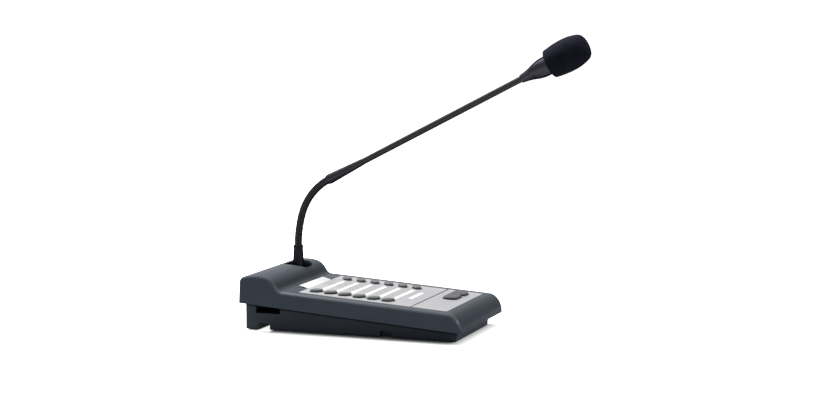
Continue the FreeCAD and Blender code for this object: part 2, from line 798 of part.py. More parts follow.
def ballast_pin_places():
    near = BALLAST_FROM_REAR + BALLAST_PIN_INSET
    far = BALLAST_FROM_REAR + BALLAST_LENGTH - BALLAST_PIN_INSET
    reach = BALLAST_WIDTH / 2 - BALLAST_PIN_INSET
    return [(side * reach, d) for side in (-1, 1) for d in (near, far)]


def bay_rear():
    """From-rear of the inner face of the tray's rear wall."""
    return TRAY_REAR_INSET + TRAY_WALL


def bay_wall_front():
    """From-rear of the face of the bay's front wall that looks into the tray."""
    return BAY_LENGTH + TRAY_WALL


def link_post_places():
    start = bay_wall_front() + LINK_POST_INSET
    end = bay_wall_front() + LINK_BOARD_LENGTH - LINK_POST_INSET
    reach = LINK_BOARD_WIDTH / 2 - LINK_POST_INSET
    return [(LINK_BOARD_X + side * reach, d) for side in (-1, 1) for d in (start, end)]


def mat_face():
    face = slab_face(-MAT_WIDTH / 2, MAT_WIDTH / 2, 0, MAT_LENGTH, MAT_CORNER)
    face.translate(Vector(0, REAR_Y - MAT_FROM_REAR, 0))
    return face


def shadow_groove():
    """Recess round the outside of the tray, just under the cover's edge."""
    height = COVER_TO_TRAY_GAP + SHADOW_GROOVE_HEIGHT
    core = tray_body(SHADOW_GROOVE_DEPTH, TRAY_LIFT, TRAY_REAR_INSET + SHADOW_GROOVE_DEPTH)
    return above_parting(-height, height).cut(core)


def inside_cover():
    """The room that the tray's flange may fill."""
    inset = COVER_WALL + COVER_TO_TRAY_GAP
    return cover_body(inset, HALF_COVER - inset, INNER_SKIRT)


def tray_shell():
    """The tub, hollow in front of the cable bay, with the flange that closes the cover."""
    room = inside_cover()
    tub = tray_body(0.0, TRAY_LIFT, TRAY_REAR_INSET)
    foot = [e for e in tub.Edges if e.BoundBox.ZMax < TRAY_LIFT + ROUNDING]
    tub = tub.makeFillet(TRAY_EDGE_ROUND, foot)
    tub = union([tub.common(room), tub.cut(above_parting(-COVER_TO_TRAY_GAP))])
    tub = tub.cut([above_parting(FLANGE_RECESS + FLANGE_THICKNESS / 2), shadow_groove()])
    shell = union([room.common(above_parting(FLANGE_RECESS, FLANGE_THICKNESS)), tub])

    inner_half = HALF_TRAY - TRAY_WALL
    floor_top = TRAY_LIFT + TRAY_FLOOR
    hollow = tray_body(TRAY_WALL, floor_top, bay_wall_front())
    ceiling_top = BAY_HEIGHT + BAY_CEILING
    front = bay_wall_front() + 1
    above_bay = block(-inner_half, inner_half, bay_rear(), front, ceiling_top, ABOVE_TRAY_Z)
    bay = block(-inner_half, inner_half, bay_rear(), BAY_LENGTH, -1, BAY_HEIGHT)
    return shell.cut([hollow, above_bay, bay])


def rear_ledge():
    """Shelf inside the tray's rear wall, above and below the cover's edge."""
    reach = HALF_TRAY - TRAY_WALL / 2
    front = bay_rear() + TRAY_WALL
    ledge = block(-reach, reach, bay_rear() - TRAY_WALL / 3, front, REAR_LEDGE_Z, ABOVE_TRAY_Z)
    upper = ledge.common(inside_cover()).cut(above_parting(FLANGE_RECESS + FLANGE_THICKNESS))
    return [upper, ledge.cut(above_parting(-COVER_TO_TRAY_GAP))]


def tray_posts():
    """What stands on the tray's floor: screw bosses, ballast pins and link board posts."""
    floor_top = TRAY_LIFT + TRAY_FLOOR
    pin_top = floor_top + BALLAST_THICKNESS + PIN_STAND
    posts = [post(x, d, BOSS_RADIUS, TRAY_LIFT, BOSS_JOINT_Z) for x, d in screw_places()]
    posts += [post(x, d, PIN_RADIUS, floor_top, pin_top) for x, d in ballast_pin_places()]
    posts += [post(x, d, LINK_POST_RADIUS, floor_top, LINK_BOARD_Z) for x, d in link_post_places()]
    return posts


def flank_block(side, outer, inner, rear, front, z0, z1):
    """A box on one flank, between two distances from the tray's middle."""
    x0, x1 = sorted((side * outer, side * inner))
    return block(x0, x1, rear, front, z0, z1)


def flank_walls(side):
    """The lining of the front notch and the rib that leads a cable to the rear notch."""
    buried = HALF_TRAY - TRAY_WALL / 2
    lining = flank_block(
        side,
        buried,
        HALF_TRAY - FRONT_NOTCH_DEPTH - TRAY_WALL,
        FRONT_NOTCH_FROM_REAR - TRAY_WALL,
        FRONT_NOTCH_FROM_REAR + FRONT_NOTCH_LENGTH + TRAY_WALL,
        TRAY_LIFT + TRAY_EDGE_ROUND,
        NOTCH_HEIGHT + TRAY_WALL,
    )
    rib = flank_block(
        side,
        buried,
        HALF_TRAY - TRAY_WALL - CABLE_RIB_LENGTH,
        REAR_NOTCH_FROM_REAR - CABLE_RIB_THICKNESS,
        REAR_NOTCH_FROM_REAR,
        TRAY_LIFT,
        BAY_HEIGHT + BAY_CEILING / 2,
    )
    return [lining, rib]


def flank_cuts(side):
    """The notches and the slot in one flank."""
    outside = HALF_TRAY + 1
    inside = HALF_TRAY - TRAY_WALL - BOSS_GAP
    blind = HALF_TRAY - FRONT_NOTCH_DEPTH
    notch_end = REAR_NOTCH_FROM_REAR + REAR_NOTCH_LENGTH
    slot_end = FLANK_SLOT_FROM_REAR + FLANK_SLOT_LENGTH
    slot_top = parting_z(slot_end) + FLANGE_RECESS
    front_end = FRONT_NOTCH_FROM_REAR + FRONT_NOTCH_LENGTH
    return [
        flank_block(side, outside, inside, REAR_NOTCH_FROM_REAR, notch_end, -1, NOTCH_HEIGHT),
        flank_block(side, outside, inside, FLANK_SLOT_FROM_REAR, slot_end, FLANK_SLOT_Z, slot_top),
        flank_block(side, outside, blind, FRONT_NOTCH_FROM_REAR, front_end, -1, NOTCH_HEIGHT),
    ]


def base_tray():
    pieces = [tray_shell()] + rear_ledge() + tray_posts() + flank_walls(-1) + flank_walls(1)
    tray = union(pieces)
    half_exit = REAR_EXIT_WIDTH / 2
    cuts = [rubber_base_mat()] + flank_cuts(-1) + flank_cuts(1)
    exit_end = bay_rear() + BOSS_GAP
    cuts.append(block(-half_exit, half_exit, TRAY_REAR_INSET - 1, exit_end, -1, NOTCH_HEIGHT))
    for x, d in screw_places():
        cuts.append(post(x, d, SCREW_HEAD_RADIUS + SCREW_PASSAGE, -1, SCREW_SEAT_Z))
        cuts.append(post(x, d, SCREW_RADIUS + SCREW_PASSAGE, -1, BOSS_JOINT_Z + 1))
    small_pilot = SMALL_SCREW_RADIUS + SCREW_FIT
    tip = LINK_BOARD_Z + BOARD_THICKNESS - SMALL_SCREW_LENGTH
    cuts += [post(x, d, small_pilot, tip, LINK_BOARD_Z + 1) for x, d in link_post_places()]
    cuts += [socket_hole(x, DATA_SOCKET_WIDTH, DATA_SOCKET_HEIGHT) for x in DATA_SOCKET_X]
    cuts.append(socket_hole(POWER_SOCKET_X, POWER_SOCKET_WIDTH, POWER_SOCKET_HEIGHT))
    return tray.cut(cuts)


def socket_hole(x, width, height):
    """The opening in the bay's front wall that a socket looks through."""
    half = width / 2 + SOCKET_CLEARANCE
    low = LINK_BOARD_Z - height - SOCKET_CLEARANCE
    return block(x - half, x + half, BAY_LENGTH - 1, bay_wall_front() + 1, low, LINK_BOARD_Z)


def rubber_base_mat():
    return raised(mat_face(), 0, MAT_THICKNESS)


def cross_recess(reach, depth):
    """Cross of two slots, a quarter as wide as it is long."""
    long, short = reach / 2, reach / 8
    slots = [
        Part.makeBox(2 * x, 2 * y, depth, Vector(-x, -y, 0))
        for x, y in ((long, short), (short, long))
    ]
    return union(slots)


def pan_screw(radius, length, head_radius, head_height):
    """A screw standing on its head: the head's seat is at height zero, the shank above."""
    head = Part.makeCylinder(head_radius, head_height, Vector(0, 0, -head_height))
    shank = Part.makeCylinder(radius, length)
    recess = cross_recess(head_radius, head_height / 2)
    recess.translate(Vector(0, 0, -head_height))
    return union([head, shank]).cut(recess)


def moved(shape, x, from_rear, z):
    placed = shape.copy()
    placed.translate(Vector(x, REAR_Y - from_rear, z))
    return placed


def housing_screws():
    screw = pan_screw(SCREW_RADIUS, SCREW_LENGTH, SCREW_HEAD_RADIUS, SCREW_HEAD_HEIGHT)
    return Part.makeCompound([moved(screw, x, d, SCREW_SEAT_Z) for x, d in screw_places()])


def ballast_plate():
    floor_top = TRAY_LIFT + TRAY_FLOOR
    face = slab_face(-BALLAST_WIDTH / 2, BALLAST_WIDTH / 2, 0, BALLAST_LENGTH, BALLAST_CORNER)
    face.translate(Vector(0, REAR_Y - BALLAST_FROM_REAR, 0))
    plate = raised(face, floor_top, floor_top + BALLAST_THICKNESS)
    return plate.cut([post(x, d, PIN_RADIUS + PIN_PASSAGE, 0, FAR) for x, d in ballast_pin_places()])


def ballast_clips():
    """Push-on washers that grip the tray's pins above the ballast plate."""
    z = TRAY_LIFT + TRAY_FLOOR + BALLAST_THICKNESS
    clips = []
    for x, d in ballast_pin_places():
        ring = post(x, d, CLIP_RADIUS, z, z + CLIP_THICKNESS)
        clips.append(ring.cut(post(x, d, PIN_RADIUS + SCREW_FIT, 0, FAR)))
    return Part.makeCompound(clips)


# Panel films, label and lamps


def zone_film():
    film = raised(film_face(0, DIVIDER_ALONG, 0), -FILM_THICKNESS, 0)
    holes = [key.hole(-COVER_WALL, COVER_WALL) for key in zone_keys().values()]
    holes += [raised(face, -COVER_WALL, COVER_WALL) for face in window_faces()]
    lamp_hole = LAMP_RADIUS + LAMP_GAP
    holes += [disc(x, along, lamp_hole, -COVER_WALL, COVER_WALL) for x, along in lamp_places()]
    return panel_place(film.cut(holes))


def speak_film():
    film = raised(film_face(speak_film_start(), PANEL_LENGTH, 0), -FILM_THICKNESS, 0)
    holes = [key.hole(-COVER_WALL, COVER_WALL) for key in speak_keys().values()]
    return panel_place(film.cut(holes))


def label_windows():
    """Clear strips let into the film over the paper label."""
    return Part.makeCompound(
        [panel_place(raised(face, -FILM_THICKNESS, 0)) for face in window_faces(WINDOW_GAP)]
    )


def label_sheet():
    """Paper strip: flat under the film, and curling up behind it into a pull tab."""
    top = -FILM_THICKNESS - LABEL_CHANNEL_GAP / 2
    bottom = top - LABEL_THICKNESS
    tip_y, tip_top = LABEL_TAB, LABEL_TAB_LIFT
    half_lift = (tip_top - top) * LABEL_TAB_SHARE
    outer = Part.Arc(Vector(0, 0, top), Vector(0, tip_y / 2, top + half_lift), Vector(0, tip_y, tip_top))
    inner = Part.Arc(
        Vector(0, 0, bottom),
        Vector(0, tip_y / 2, bottom + half_lift),
        Vector(0, tip_y, tip_top - LABEL_THICKNESS),
    )
    end_y = -LABEL_END_ALONG
    corners = [Vector(0, 0, top), Vector(0, end_y, top), Vector(0, end_y, bottom), Vector(0, 0, bottom)]
    edges = [Part.LineSegment(a, b).toShape() for a, b in zip(corners[:-1], corners[1:])]
    tip_bottom = tip_top - LABEL_THICKNESS
    tip = Part.LineSegment(Vector(0, tip_y, tip_top), Vector(0, tip_y, tip_bottom)).toShape()
    wire = Part.Wire(Part.__sortEdges__(edges + [outer.toShape(), inner.toShape(), tip]))
    face = Part.Face(wire)
    face.translate(Vector(-LABEL_WIDTH / 2, 0, 0))
    return panel_place(face.extrude(Vector(LABEL_WIDTH, 0, 0)))


def zone_lamps():
    """Light pipes from the board to the film, one beside each zone key."""
    return Part.makeCompound(
        [panel_place(disc(x, along, LAMP_RADIUS, BOARD_TOP, 0)) for x, along in lamp_places()]
    )


# Boards, switches and sockets


def main_board():
    half = BOARD_WIDTH / 2
    face = slab_face(-half, half, BOARD_START_ALONG, BOARD_END_ALONG, BOARD_CORNER)
    board = raised(face, BOARD_TOP - BOARD_THICKNESS, BOARD_TOP)
    passage = SMALL_SCREW_RADIUS + SCREW_PASSAGE
    holes = [disc(x, along, passage, -FAR, FAR) for x, along in board_boss_places()]
    return panel_place(board.cut(holes))


def board_screws():
    """Screws of one size: up into the cover for the main board, down for the link board."""
    screw = pan_screw(
        SMALL_SCREW_RADIUS,
        SMALL_SCREW_LENGTH,
        SMALL_SCREW_HEAD_RADIUS,
        SMALL_SCREW_HEAD_HEIGHT,
    )
    placed = []
    for x, along in board_boss_places():
        up = screw.copy()
        up.translate(Vector(x, -along, BOARD_TOP - BOARD_THICKNESS))
        placed.append(panel_place(up))
    for x, d in link_post_places():
        down = screw.copy()
        down.rotate(Vector(0, 0, 0), X_AXIS, 180)
        placed.append(moved(down, x, d, LINK_BOARD_Z + BOARD_THICKNESS))
    return Part.makeCompound(placed)


def key_switches():
    """Switch bodies under the keys; each key's nib runs in the bore on top."""
    bodies = []
    for key in KEYS.values():
        corner = Vector(key.x - SWITCH_SIDE / 2, -key.along - SWITCH_SIDE / 2, BOARD_TOP)
        body = Part.makeBox(SWITCH_SIDE, SWITCH_SIDE, SWITCH_HEIGHT, corner)
        bore = KEY_NIB_RADIUS + SWITCH_BORE_CLEARANCE
        body = body.cut(disc(key.x, key.along, bore, SWITCH_TOP - SWITCH_BORE_DEPTH, SWITCH_TOP + 1))
        bodies.append(panel_place(body))
    return Part.makeCompound(bodies)


def link_board():
    half = LINK_BOARD_WIDTH / 2
    start = bay_wall_front() + COVER_TO_TRAY_GAP
    board = block(
        LINK_BOARD_X - half,
        LINK_BOARD_X + half,
        start,
        start + LINK_BOARD_LENGTH - COVER_TO_TRAY_GAP,
        LINK_BOARD_Z,
        LINK_BOARD_Z + BOARD_THICKNESS,
    )
    passage = SMALL_SCREW_RADIUS + SCREW_PASSAGE
    return board.cut([post(x, d, passage, 0, FAR) for x, d in link_post_places()])


def data_sockets():
    """Two data sockets that hang under the link board and look into the cable bay."""
    sockets = []
    for x in DATA_SOCKET_X:
        half = DATA_SOCKET_WIDTH / 2
        low = LINK_BOARD_Z - DATA_SOCKET_HEIGHT
        end = BAY_LENGTH + DATA_SOCKET_LENGTH
        body = block(x - half, x + half, BAY_LENGTH, end, low, LINK_BOARD_Z)
        port_low = low + (DATA_SOCKET_HEIGHT - DATA_PORT_HEIGHT - DATA_KEYWAY_HEIGHT) / 2
        port_half = DATA_PORT_WIDTH / 2
        port_end = BAY_LENGTH + DATA_PORT_DEPTH
        port_top = port_low + DATA_PORT_HEIGHT
        port = block(x - port_half, x + port_half, BAY_LENGTH - 1, port_end, port_low, port_top)
        key_half = DATA_KEYWAY_WIDTH / 2
        key_top = port_top + DATA_KEYWAY_HEIGHT
        keyway = block(x - key_half, x + key_half, BAY_LENGTH - 1, port_end, port_top, key_top)
        sockets.append(body.cut(union([port, keyway])))
    return Part.makeCompound(sockets)


def power_socket():
    """Barrel socket with its centre pin."""
    half = POWER_SOCKET_WIDTH / 2
    low = LINK_BOARD_Z - POWER_SOCKET_HEIGHT
    centre_z = low + POWER_SOCKET_HEIGHT / 2
    left = POWER_SOCKET_X - half
    right = POWER_SOCKET_X + half
    body = block(left, right, BAY_LENGTH, BAY_LENGTH + POWER_SOCKET_LENGTH, low, LINK_BOARD_Z)
    mouth = Vector(POWER_SOCKET_X, REAR_Y - BAY_LENGTH, centre_z)
    inwards = Vector(0, -1, 0)
    bore = Part.makeCylinder(POWER_BORE_RADIUS, POWER_BORE_DEPTH, mouth, inwards)
    pin = Part.makeCylinder(POWER_PIN_RADIUS, POWER_BORE_DEPTH, mouth + inwards, inwards)
    return body.cut(bore.cut(pin))


def stacking_header():
    """Pin header between the link board and the main board above it."""
    half = STACK_HEADER_WIDTH / 2
    front = bay_wall_front() + LINK_BOARD_LENGTH
    low = LINK_BOARD_Z + BOARD_THICKNESS
    rear = front - STACK_HEADER_LENGTH
    body = block(STACK_HEADER_X - half, STACK_HEADER_X + half, rear, front, low, ABOVE_TRAY_Z)
    everywhere = slab_face(-HALF_COVER, HALF_COVER, -COVER_LENGTH, COVER_LENGTH, 0)
    above = raised(everywhere, BOARD_TOP - BOARD_THICKNESS, COVER_LENGTH)
    return body.cut(panel_place(above))


def lead_plug_start():
    return bay_wall_front() + LEAD_PLUG_INSET


def lead_plug_z():
    return LINK_BOARD_Z + BOARD_THICKNESS + LEAD_PLUG_HEIGHT / 2


def lead_plug():
    """Plug of the microphone lead, seated on the link board."""
    half = LEAD_PLUG_WIDTH / 2
    start = lead_plug_start()
    end = start + LEAD_PLUG_LENGTH
    low = LINK_BOARD_Z + BOARD_THICKNESS
    return block(LEAD_PLUG_X - half, LEAD_PLUG_X + half, start, end, low, low + LEAD_PLUG_HEIGHT)


# Neck root: cup, stem, nut and boot


def neck_axis(shape):
    """Move a shape turned about Z onto the neck's upright axis."""
    placed = shape.copy()
    placed.translate(Vector(NECK_X, NECK_Y, 0))
    return placed


def tube(outer, inner, z0, z1):
    """A round sleeve about the Z axis."""
    return Part.makeCylinder(outer, z1 - z0, Vector(0, 0, z0)).cut(
        Part.makeCylinder(inner, z1 - z0, Vector(0, 0, z0))
    )


def neck_cup():
    """Oval cup under the well, with an ear at each end for its screws."""
    low = CUP_FLOOR_Z - CUP_FLOOR
    cup = raised(well_face(CUP_WALL), low, CREST_Z)
    ears = [post(x, d, CUP_EAR_RADIUS, low, CUP_FLOOR_Z - CUP_COVER_GAP) for x, d in cup_screw_places()]
    reach = WELL_LENGTH / 2 + CUP_EAR
    bar = block(
        NECK_X - reach,
        NECK_X + reach,
        NECK_FROM_REAR - CUP_EAR_RADIUS,
        NECK_FROM_REAR + CUP_EAR_RADIUS,
        low,
        CUP_FLOOR_Z - CUP_COVER_GAP,
    )
    cup = union([cup, bar] + ears)
    gap = COVER_WALL + CUP_COVER_GAP
    room = cover_body(gap, HALF_COVER - gap, INNER_SKIRT)
    cup = cup.common(room).cut(raised(well_face(0.0), CUP_FLOOR_Z, CREST_Z + 1))
    holes = [post(x, d, SCREW_RADIUS + SCREW_PASSAGE, 0, FAR) for x, d in cup_screw_places()]
    holes.append(post(NECK_X, NECK_FROM_REAR, STEM_RADIUS + STEM_CLEARANCE, 0, FAR))
    return cup.cut(holes)


def cup_screws():
    screw = pan_screw(SCREW_RADIUS, CUP_SCREW_LENGTH, SCREW_HEAD_RADIUS, SCREW_HEAD_HEIGHT)
    return Part.makeCompound([moved(screw, x, d, CUP_FLOOR_Z - CUP_FLOOR) for x, d in cup_screw_places()])


def stem_top():
    return CUP_FLOOR_Z + STEM_COLLAR + STEM_SPIGOT


def neck_stem():
    """Threaded stem with the collar that clamps on the cup floor and a spigot in the boot."""
    low = CUP_FLOOR_Z - CUP_FLOOR - STEM_BELOW_FLOOR
    collar_top = CUP_FLOOR_Z + STEM_COLLAR
    profile = [
        (STEM_BORE, low),
        (STEM_RADIUS, low),
        (STEM_RADIUS, CUP_FLOOR_Z),
        (STEM_COLLAR_RADIUS, CUP_FLOOR_Z),
        (STEM_COLLAR_RADIUS, collar_top),
        (HOSE_RADIUS, collar_top),
        (HOSE_RADIUS, stem_top()),
        (STEM_BORE, stem_top()),
    ]
    return neck_axis(turned(profile))


def stem_washer():
    top = CUP_FLOOR_Z - CUP_FLOOR
    return neck_axis(tube(WASHER_RADIUS, STEM_RADIUS + STEM_CLEARANCE, top - WASHER_THICKNESS, top))


def stem_nut():
    top = CUP_FLOOR_Z - CUP_FLOOR - WASHER_THICKNESS
    corner = NUT_ACROSS_FLATS / 2 / cos(30)
    points = [Vector(corner * cos(60 * k), corner * sin(60 * k), top - NUT_HEIGHT) for k in range(7)]
    nut = Part.Face(Part.makePolygon(points)).extrude(Vector(0, 0, NUT_HEIGHT))
    nut = nut.cut(Part.makeCylinder(STEM_RADIUS + SCREW_FIT, FAR, Vector(0, 0, -FAR / 2)))
    return neck_axis(nut)


def neck_boot():
    """Tapered sleeve with a small lip at its top."""
    low = CUP_FLOOR_Z + STEM_COLLAR
    bore = HOSE_RADIUS + HOSE_CLEARANCE
    lip_low = BOOT_TOP_Z - BOOT_LIP
    profile = [
        (bore, low),
        (BOOT_BOTTOM_RADIUS, low),
        (BOOT_TOP_RADIUS, lip_low - BOOT_LIP_RISE),
        (BOOT_LIP_RADIUS, lip_low),
        (BOOT_LIP_RADIUS, BOOT_TOP_Z - BOOT_LIP_CHAMFER),
        (BOOT_LIP_RADIUS - BOOT_LIP_CHAMFER, BOOT_TOP_Z),
        (bore, BOOT_TOP_Z),
    ]
    return neck_axis(turned(profile))


# Flexible neck


def neck_frame(along):
    """Place and lean of the neck's centre line, measured along it from the first bend."""
    if along <= 0:
        return NECK_Y, BEND_START_Z + along, 0.0
    bend = min(along, LOWER_BEND_LENGTH)
    lean = math.degrees(bend / LOWER_BEND_RADIUS)
    y = NECK_Y - LOWER_BEND_RADIUS * (1 - cos(lean))
    z = BEND_START_Z + LOWER_BEND_RADIUS * sin(lean)
    if along > LOWER_BEND_LENGTH:
        bend = min(along, NECK_LENGTH) - LOWER_BEND_LENGTH
        end = lean + math.degrees(bend / UPPER_BEND_RADIUS)
        y -= UPPER_BEND_RADIUS * (cos(lean) - cos(end))
        z += UPPER_BEND_RADIUS * (sin(end) - sin(lean))
        lean = end
    past = max(0.0, along - NECK_LENGTH)
    return y - past * sin(lean), z + past * cos(lean), lean


def neck_place(shape, along):
    """Stand a shape made about Z on the neck's centre line."""
    y, z, lean = neck_frame(along)
    placed = shape.copy()
    placed.Placement = FreeCAD.Placement(Vector(NECK_X, y, z), FreeCAD.Rotation(X_AXIS, lean))
    return placed


def ring_loft(stations):
    """A ruled solid through circles at (distance along the neck, radius)."""
    circle = Part.Circle(Vector(0, 0, 0), Vector(0, 0, 1), 1.0)
    wires = []
    for along, radius in stations:
        circle.Radius = radius
        wires.append(neck_place(Part.Wire([circle.toShape()]), along))
    return Part.makeLoft(wires, True, True)


def hose(start, end, start_radius, end_radius):
    """A ribbed stretch of hose; each rib is a rise, a crest, a fall and a valley."""
    ribs = max(1, round((end - start) / rib_pitch()))
    pitch = (end - start) / ribs
    stations = [(start, start_radius)]
    for rib in range(ribs):
        low = start + rib * pitch
        high = low + pitch
        stations += [
            (low + RIB_FOOT_SHARE * pitch, HOSE_VALLEY_RADIUS),
            (low + RIB_CREST_SHARE * pitch, HOSE_RADIUS),
            (high - RIB_CREST_SHARE * pitch, HOSE_RADIUS),
            (high - RIB_FOOT_SHARE * pitch, HOSE_VALLEY_RADIUS),
        ]
    stations.append((end, end_radius))
    bore = [(along, HOSE_BORE) for along, _ in stations[1:-1:2]]
    bore = [(start - 1, HOSE_BORE)] + bore + [(end + 1, HOSE_BORE)]
    return ring_loft(stations).cut(ring_loft(bore))


def rib_pitch():
    return (HINGE_PITCH - HINGE_GAP) / RIBS_PER_LINK


def hinge_along(index):
    """Distance along the neck of a hinge point, counted from 0 at the boot."""
    return FIRST_HINGE_ALONG + HINGE_PITCH * index


def neck_root():
    """The hose's lowest stretch, from the stem up through the boot to the first hinge."""
    start = stem_top() - BEND_START_Z
    return hose(start, hinge_along(0) - HINGE_GAP / 2, HOSE_VALLEY_RADIUS, HOSE_END_RADIUS)


def neck_link(index):
    start = hinge_along(index) + HINGE_GAP / 2
    return hose(start, hinge_along(index + 1) - HINGE_GAP / 2, HOSE_END_RADIUS, HOSE_END_RADIUS)


def neck_tip():
    """The hose's top stretch, from the last hinge into the collar."""
    start = hinge_along(HINGE_COUNT - 1) + HINGE_GAP / 2
    end = NECK_LENGTH + COLLAR_START + HOSE_INTO_COLLAR
    return hose(start, end, HOSE_END_RADIUS, HOSE_VALLEY_RADIUS)


# Arm and microphone head, made about Z and laid along the straight


def arm_place(shape):
    return neck_place(shape, NECK_LENGTH)


def neck_collar():
    """Long tapered collar with a rounded lower end over the hose, tight on the tube."""
    end = COLLAR_START + COLLAR_LENGTH
    hose_end = COLLAR_START + HOSE_INTO_COLLAR
    hose_bore = HOSE_RADIUS + HOSE_CLEARANCE
    tube_bore = TUBE_RADIUS + TUBE_CLEARANCE
    shoulder = Vector(COLLAR_RADIUS, 0, COLLAR_START + COLLAR_NOSE)
    low = Vector(hose_bore + COLLAR_RIM, 0, COLLAR_START)
    bulge_z = COLLAR_START + COLLAR_NOSE * COLLAR_BULGE_SHARE
    bulge = Vector(COLLAR_RADIUS - COLLAR_BULGE_INSET, 0, bulge_z)
    corners = [
        shoulder,
        Vector(COLLAR_TIP_RADIUS, 0, end),
        Vector(tube_bore, 0, end),
        Vector(tube_bore, 0, hose_end),
        Vector(hose_bore, 0, hose_end),
        Vector(hose_bore, 0, COLLAR_START),
        low,
    ]
    edges = [Part.LineSegment(a, b).toShape() for a, b in zip(corners[:-1], corners[1:])]
    edges.append(Part.Arc(low, bulge, shoulder).toShape())
    face = Part.Face(Part.Wire(edges))
    return arm_place(face.revolve(Vector(0, 0, 0), Vector(0, 0, 1), 360))


def arm_tube():
    start = COLLAR_START + HOSE_INTO_COLLAR
    return arm_place(tube(TUBE_RADIUS, TUBE_RADIUS - TUBE_WALL, start, HEAD_START + TUBE_INTO_HEAD))


def head_place(shape):
    """Head pieces are measured from the point where the tube enters the head."""
    return neck_place(shape, NECK_LENGTH + HEAD_START)


def capsule_housing():
    """Bell that swells from the tube to the capsule, hollow at its front."""
    tube_bore = TUBE_RADIUS + TUBE_CLEARANCE
    mid_z, mid_radius = HEAD_FLARE / 2, (HEAD_START_RADIUS + HEAD_RADIUS) / 2
    start = Vector(HEAD_START_RADIUS, 0, 0)
    middle = Vector(mid_radius, 0, mid_z)
    full = Vector(HEAD_RADIUS, 0, HEAD_FLARE)
    hollow = Vector((start.x + middle.x) / 2 - HEAD_HOLLOW, 0, mid_z / 2)
    swell = Vector((middle.x + full.x) / 2 + HEAD_SWELL, 0, mid_z * 1.5)
    corners = [
        full,
        Vector(HEAD_RADIUS, 0, HEAD_LENGTH),
        Vector(HEAD_BORE, 0, HEAD_LENGTH),
        Vector(HEAD_BORE, 0, HEAD_BORE_START + HEAD_BORE_CONE),
        Vector(HEAD_LEAD_BORE, 0, HEAD_BORE_START),
        Vector(HEAD_LEAD_BORE, 0, TUBE_INTO_HEAD),
        Vector(tube_bore, 0, TUBE_INTO_HEAD),
        Vector(tube_bore, 0, 0),
        start,
    ]
    edges = [Part.Arc(start, hollow, middle).toShape(), Part.Arc(middle, swell, full).toShape()]
    edges += [Part.LineSegment(a, b).toShape() for a, b in zip(corners[:-1], corners[1:])]
    face = Part.Face(Part.Wire(edges))
    return head_place(face.revolve(Vector(0, 0, 0), Vector(0, 0, 1), 360))


def capsule():
    body = Part.makeCylinder(CAPSULE_RADIUS, CAPSULE_LENGTH, Vector(0, 0, CAPSULE_START))
    front = CAPSULE_START + CAPSULE_LENGTH
    rim = [e for e in body.Edges if e.BoundBox.ZMin > front - ROUNDING]
    return head_place(body.makeFillet(CAPSULE_ROUND, rim))


def capsule_ring():
    """Rubber ring that floats the capsule in the housing."""
    outer = HEAD_BORE - RING_CLEARANCE
    inner = CAPSULE_RADIUS + RING_CLEARANCE / 2
    return head_place(tube(outer, inner, RING_START, RING_START + RING_LENGTH))


def head_grille():
    """Domed cap with sound holes, its spigot inside the housing."""
    sphere_radius = (HEAD_RADIUS**2 + GRILLE_DOME**2) / (2 * GRILLE_DOME)
    centre = HEAD_LENGTH + GRILLE_DOME - sphere_radius
    dome = Part.makeSphere(sphere_radius, Vector(0, 0, centre))
    dome = dome.cut(Part.makeSphere(sphere_radius - GRILLE_WALL, Vector(0, 0, centre)))
    dome = dome.common(Part.makeCylinder(HEAD_RADIUS, GRILLE_DOME, Vector(0, 0, HEAD_LENGTH)))
    outer = HEAD_BORE - RING_CLEARANCE
    lip = tube(HEAD_RADIUS, outer - GRILLE_WALL, HEAD_LENGTH, HEAD_LENGTH + GRILLE_WALL)
    spigot = tube(outer, outer - GRILLE_WALL, HEAD_LENGTH - GRILLE_SPIGOT, HEAD_LENGTH + GRILLE_WALL)
    holes = []
    start = HEAD_LENGTH + GRILLE_WALL
    for ring_radius, count in zip(GRILLE_RING_RADII, GRILLE_RING_COUNTS):
        for k in range(count):
            angle = 360.0 * k / count
            foot = Vector(ring_radius * cos(angle), ring_radius * sin(angle), start)
            holes.append(Part.makeCylinder(GRILLE_HOLE_RADIUS, GRILLE_DOME + 1, foot))
    return head_place(union([dome, lip, spigot]).cut(holes))


def knuckle_centre(side_centre, side_reach, crown_centre, crown_reach):
    """Where two circles in the head's half plane meet, on the side away from the axis."""
    across = crown_centre - side_centre
    near = (side_reach**2 - crown_reach**2 + across.Length**2) / (2 * across.Length)
    off = math.sqrt(side_reach**2 - near**2)
    forward = across / across.Length
    sideways = Vector(forward.z, 0, -forward.x)
    options = [side_centre + forward * near + sideways * side * off for side in (-1, 1)]
    return max(options, key=lambda point: point.x)


def arc_round(centre, radius, start, end):
    """A short arc between two points of a circle, bulging away from its centre."""
    middle = (start - centre).normalize() + (end - centre).normalize()
    return Part.Arc(start, centre + middle.normalize() * radius, end).toShape()


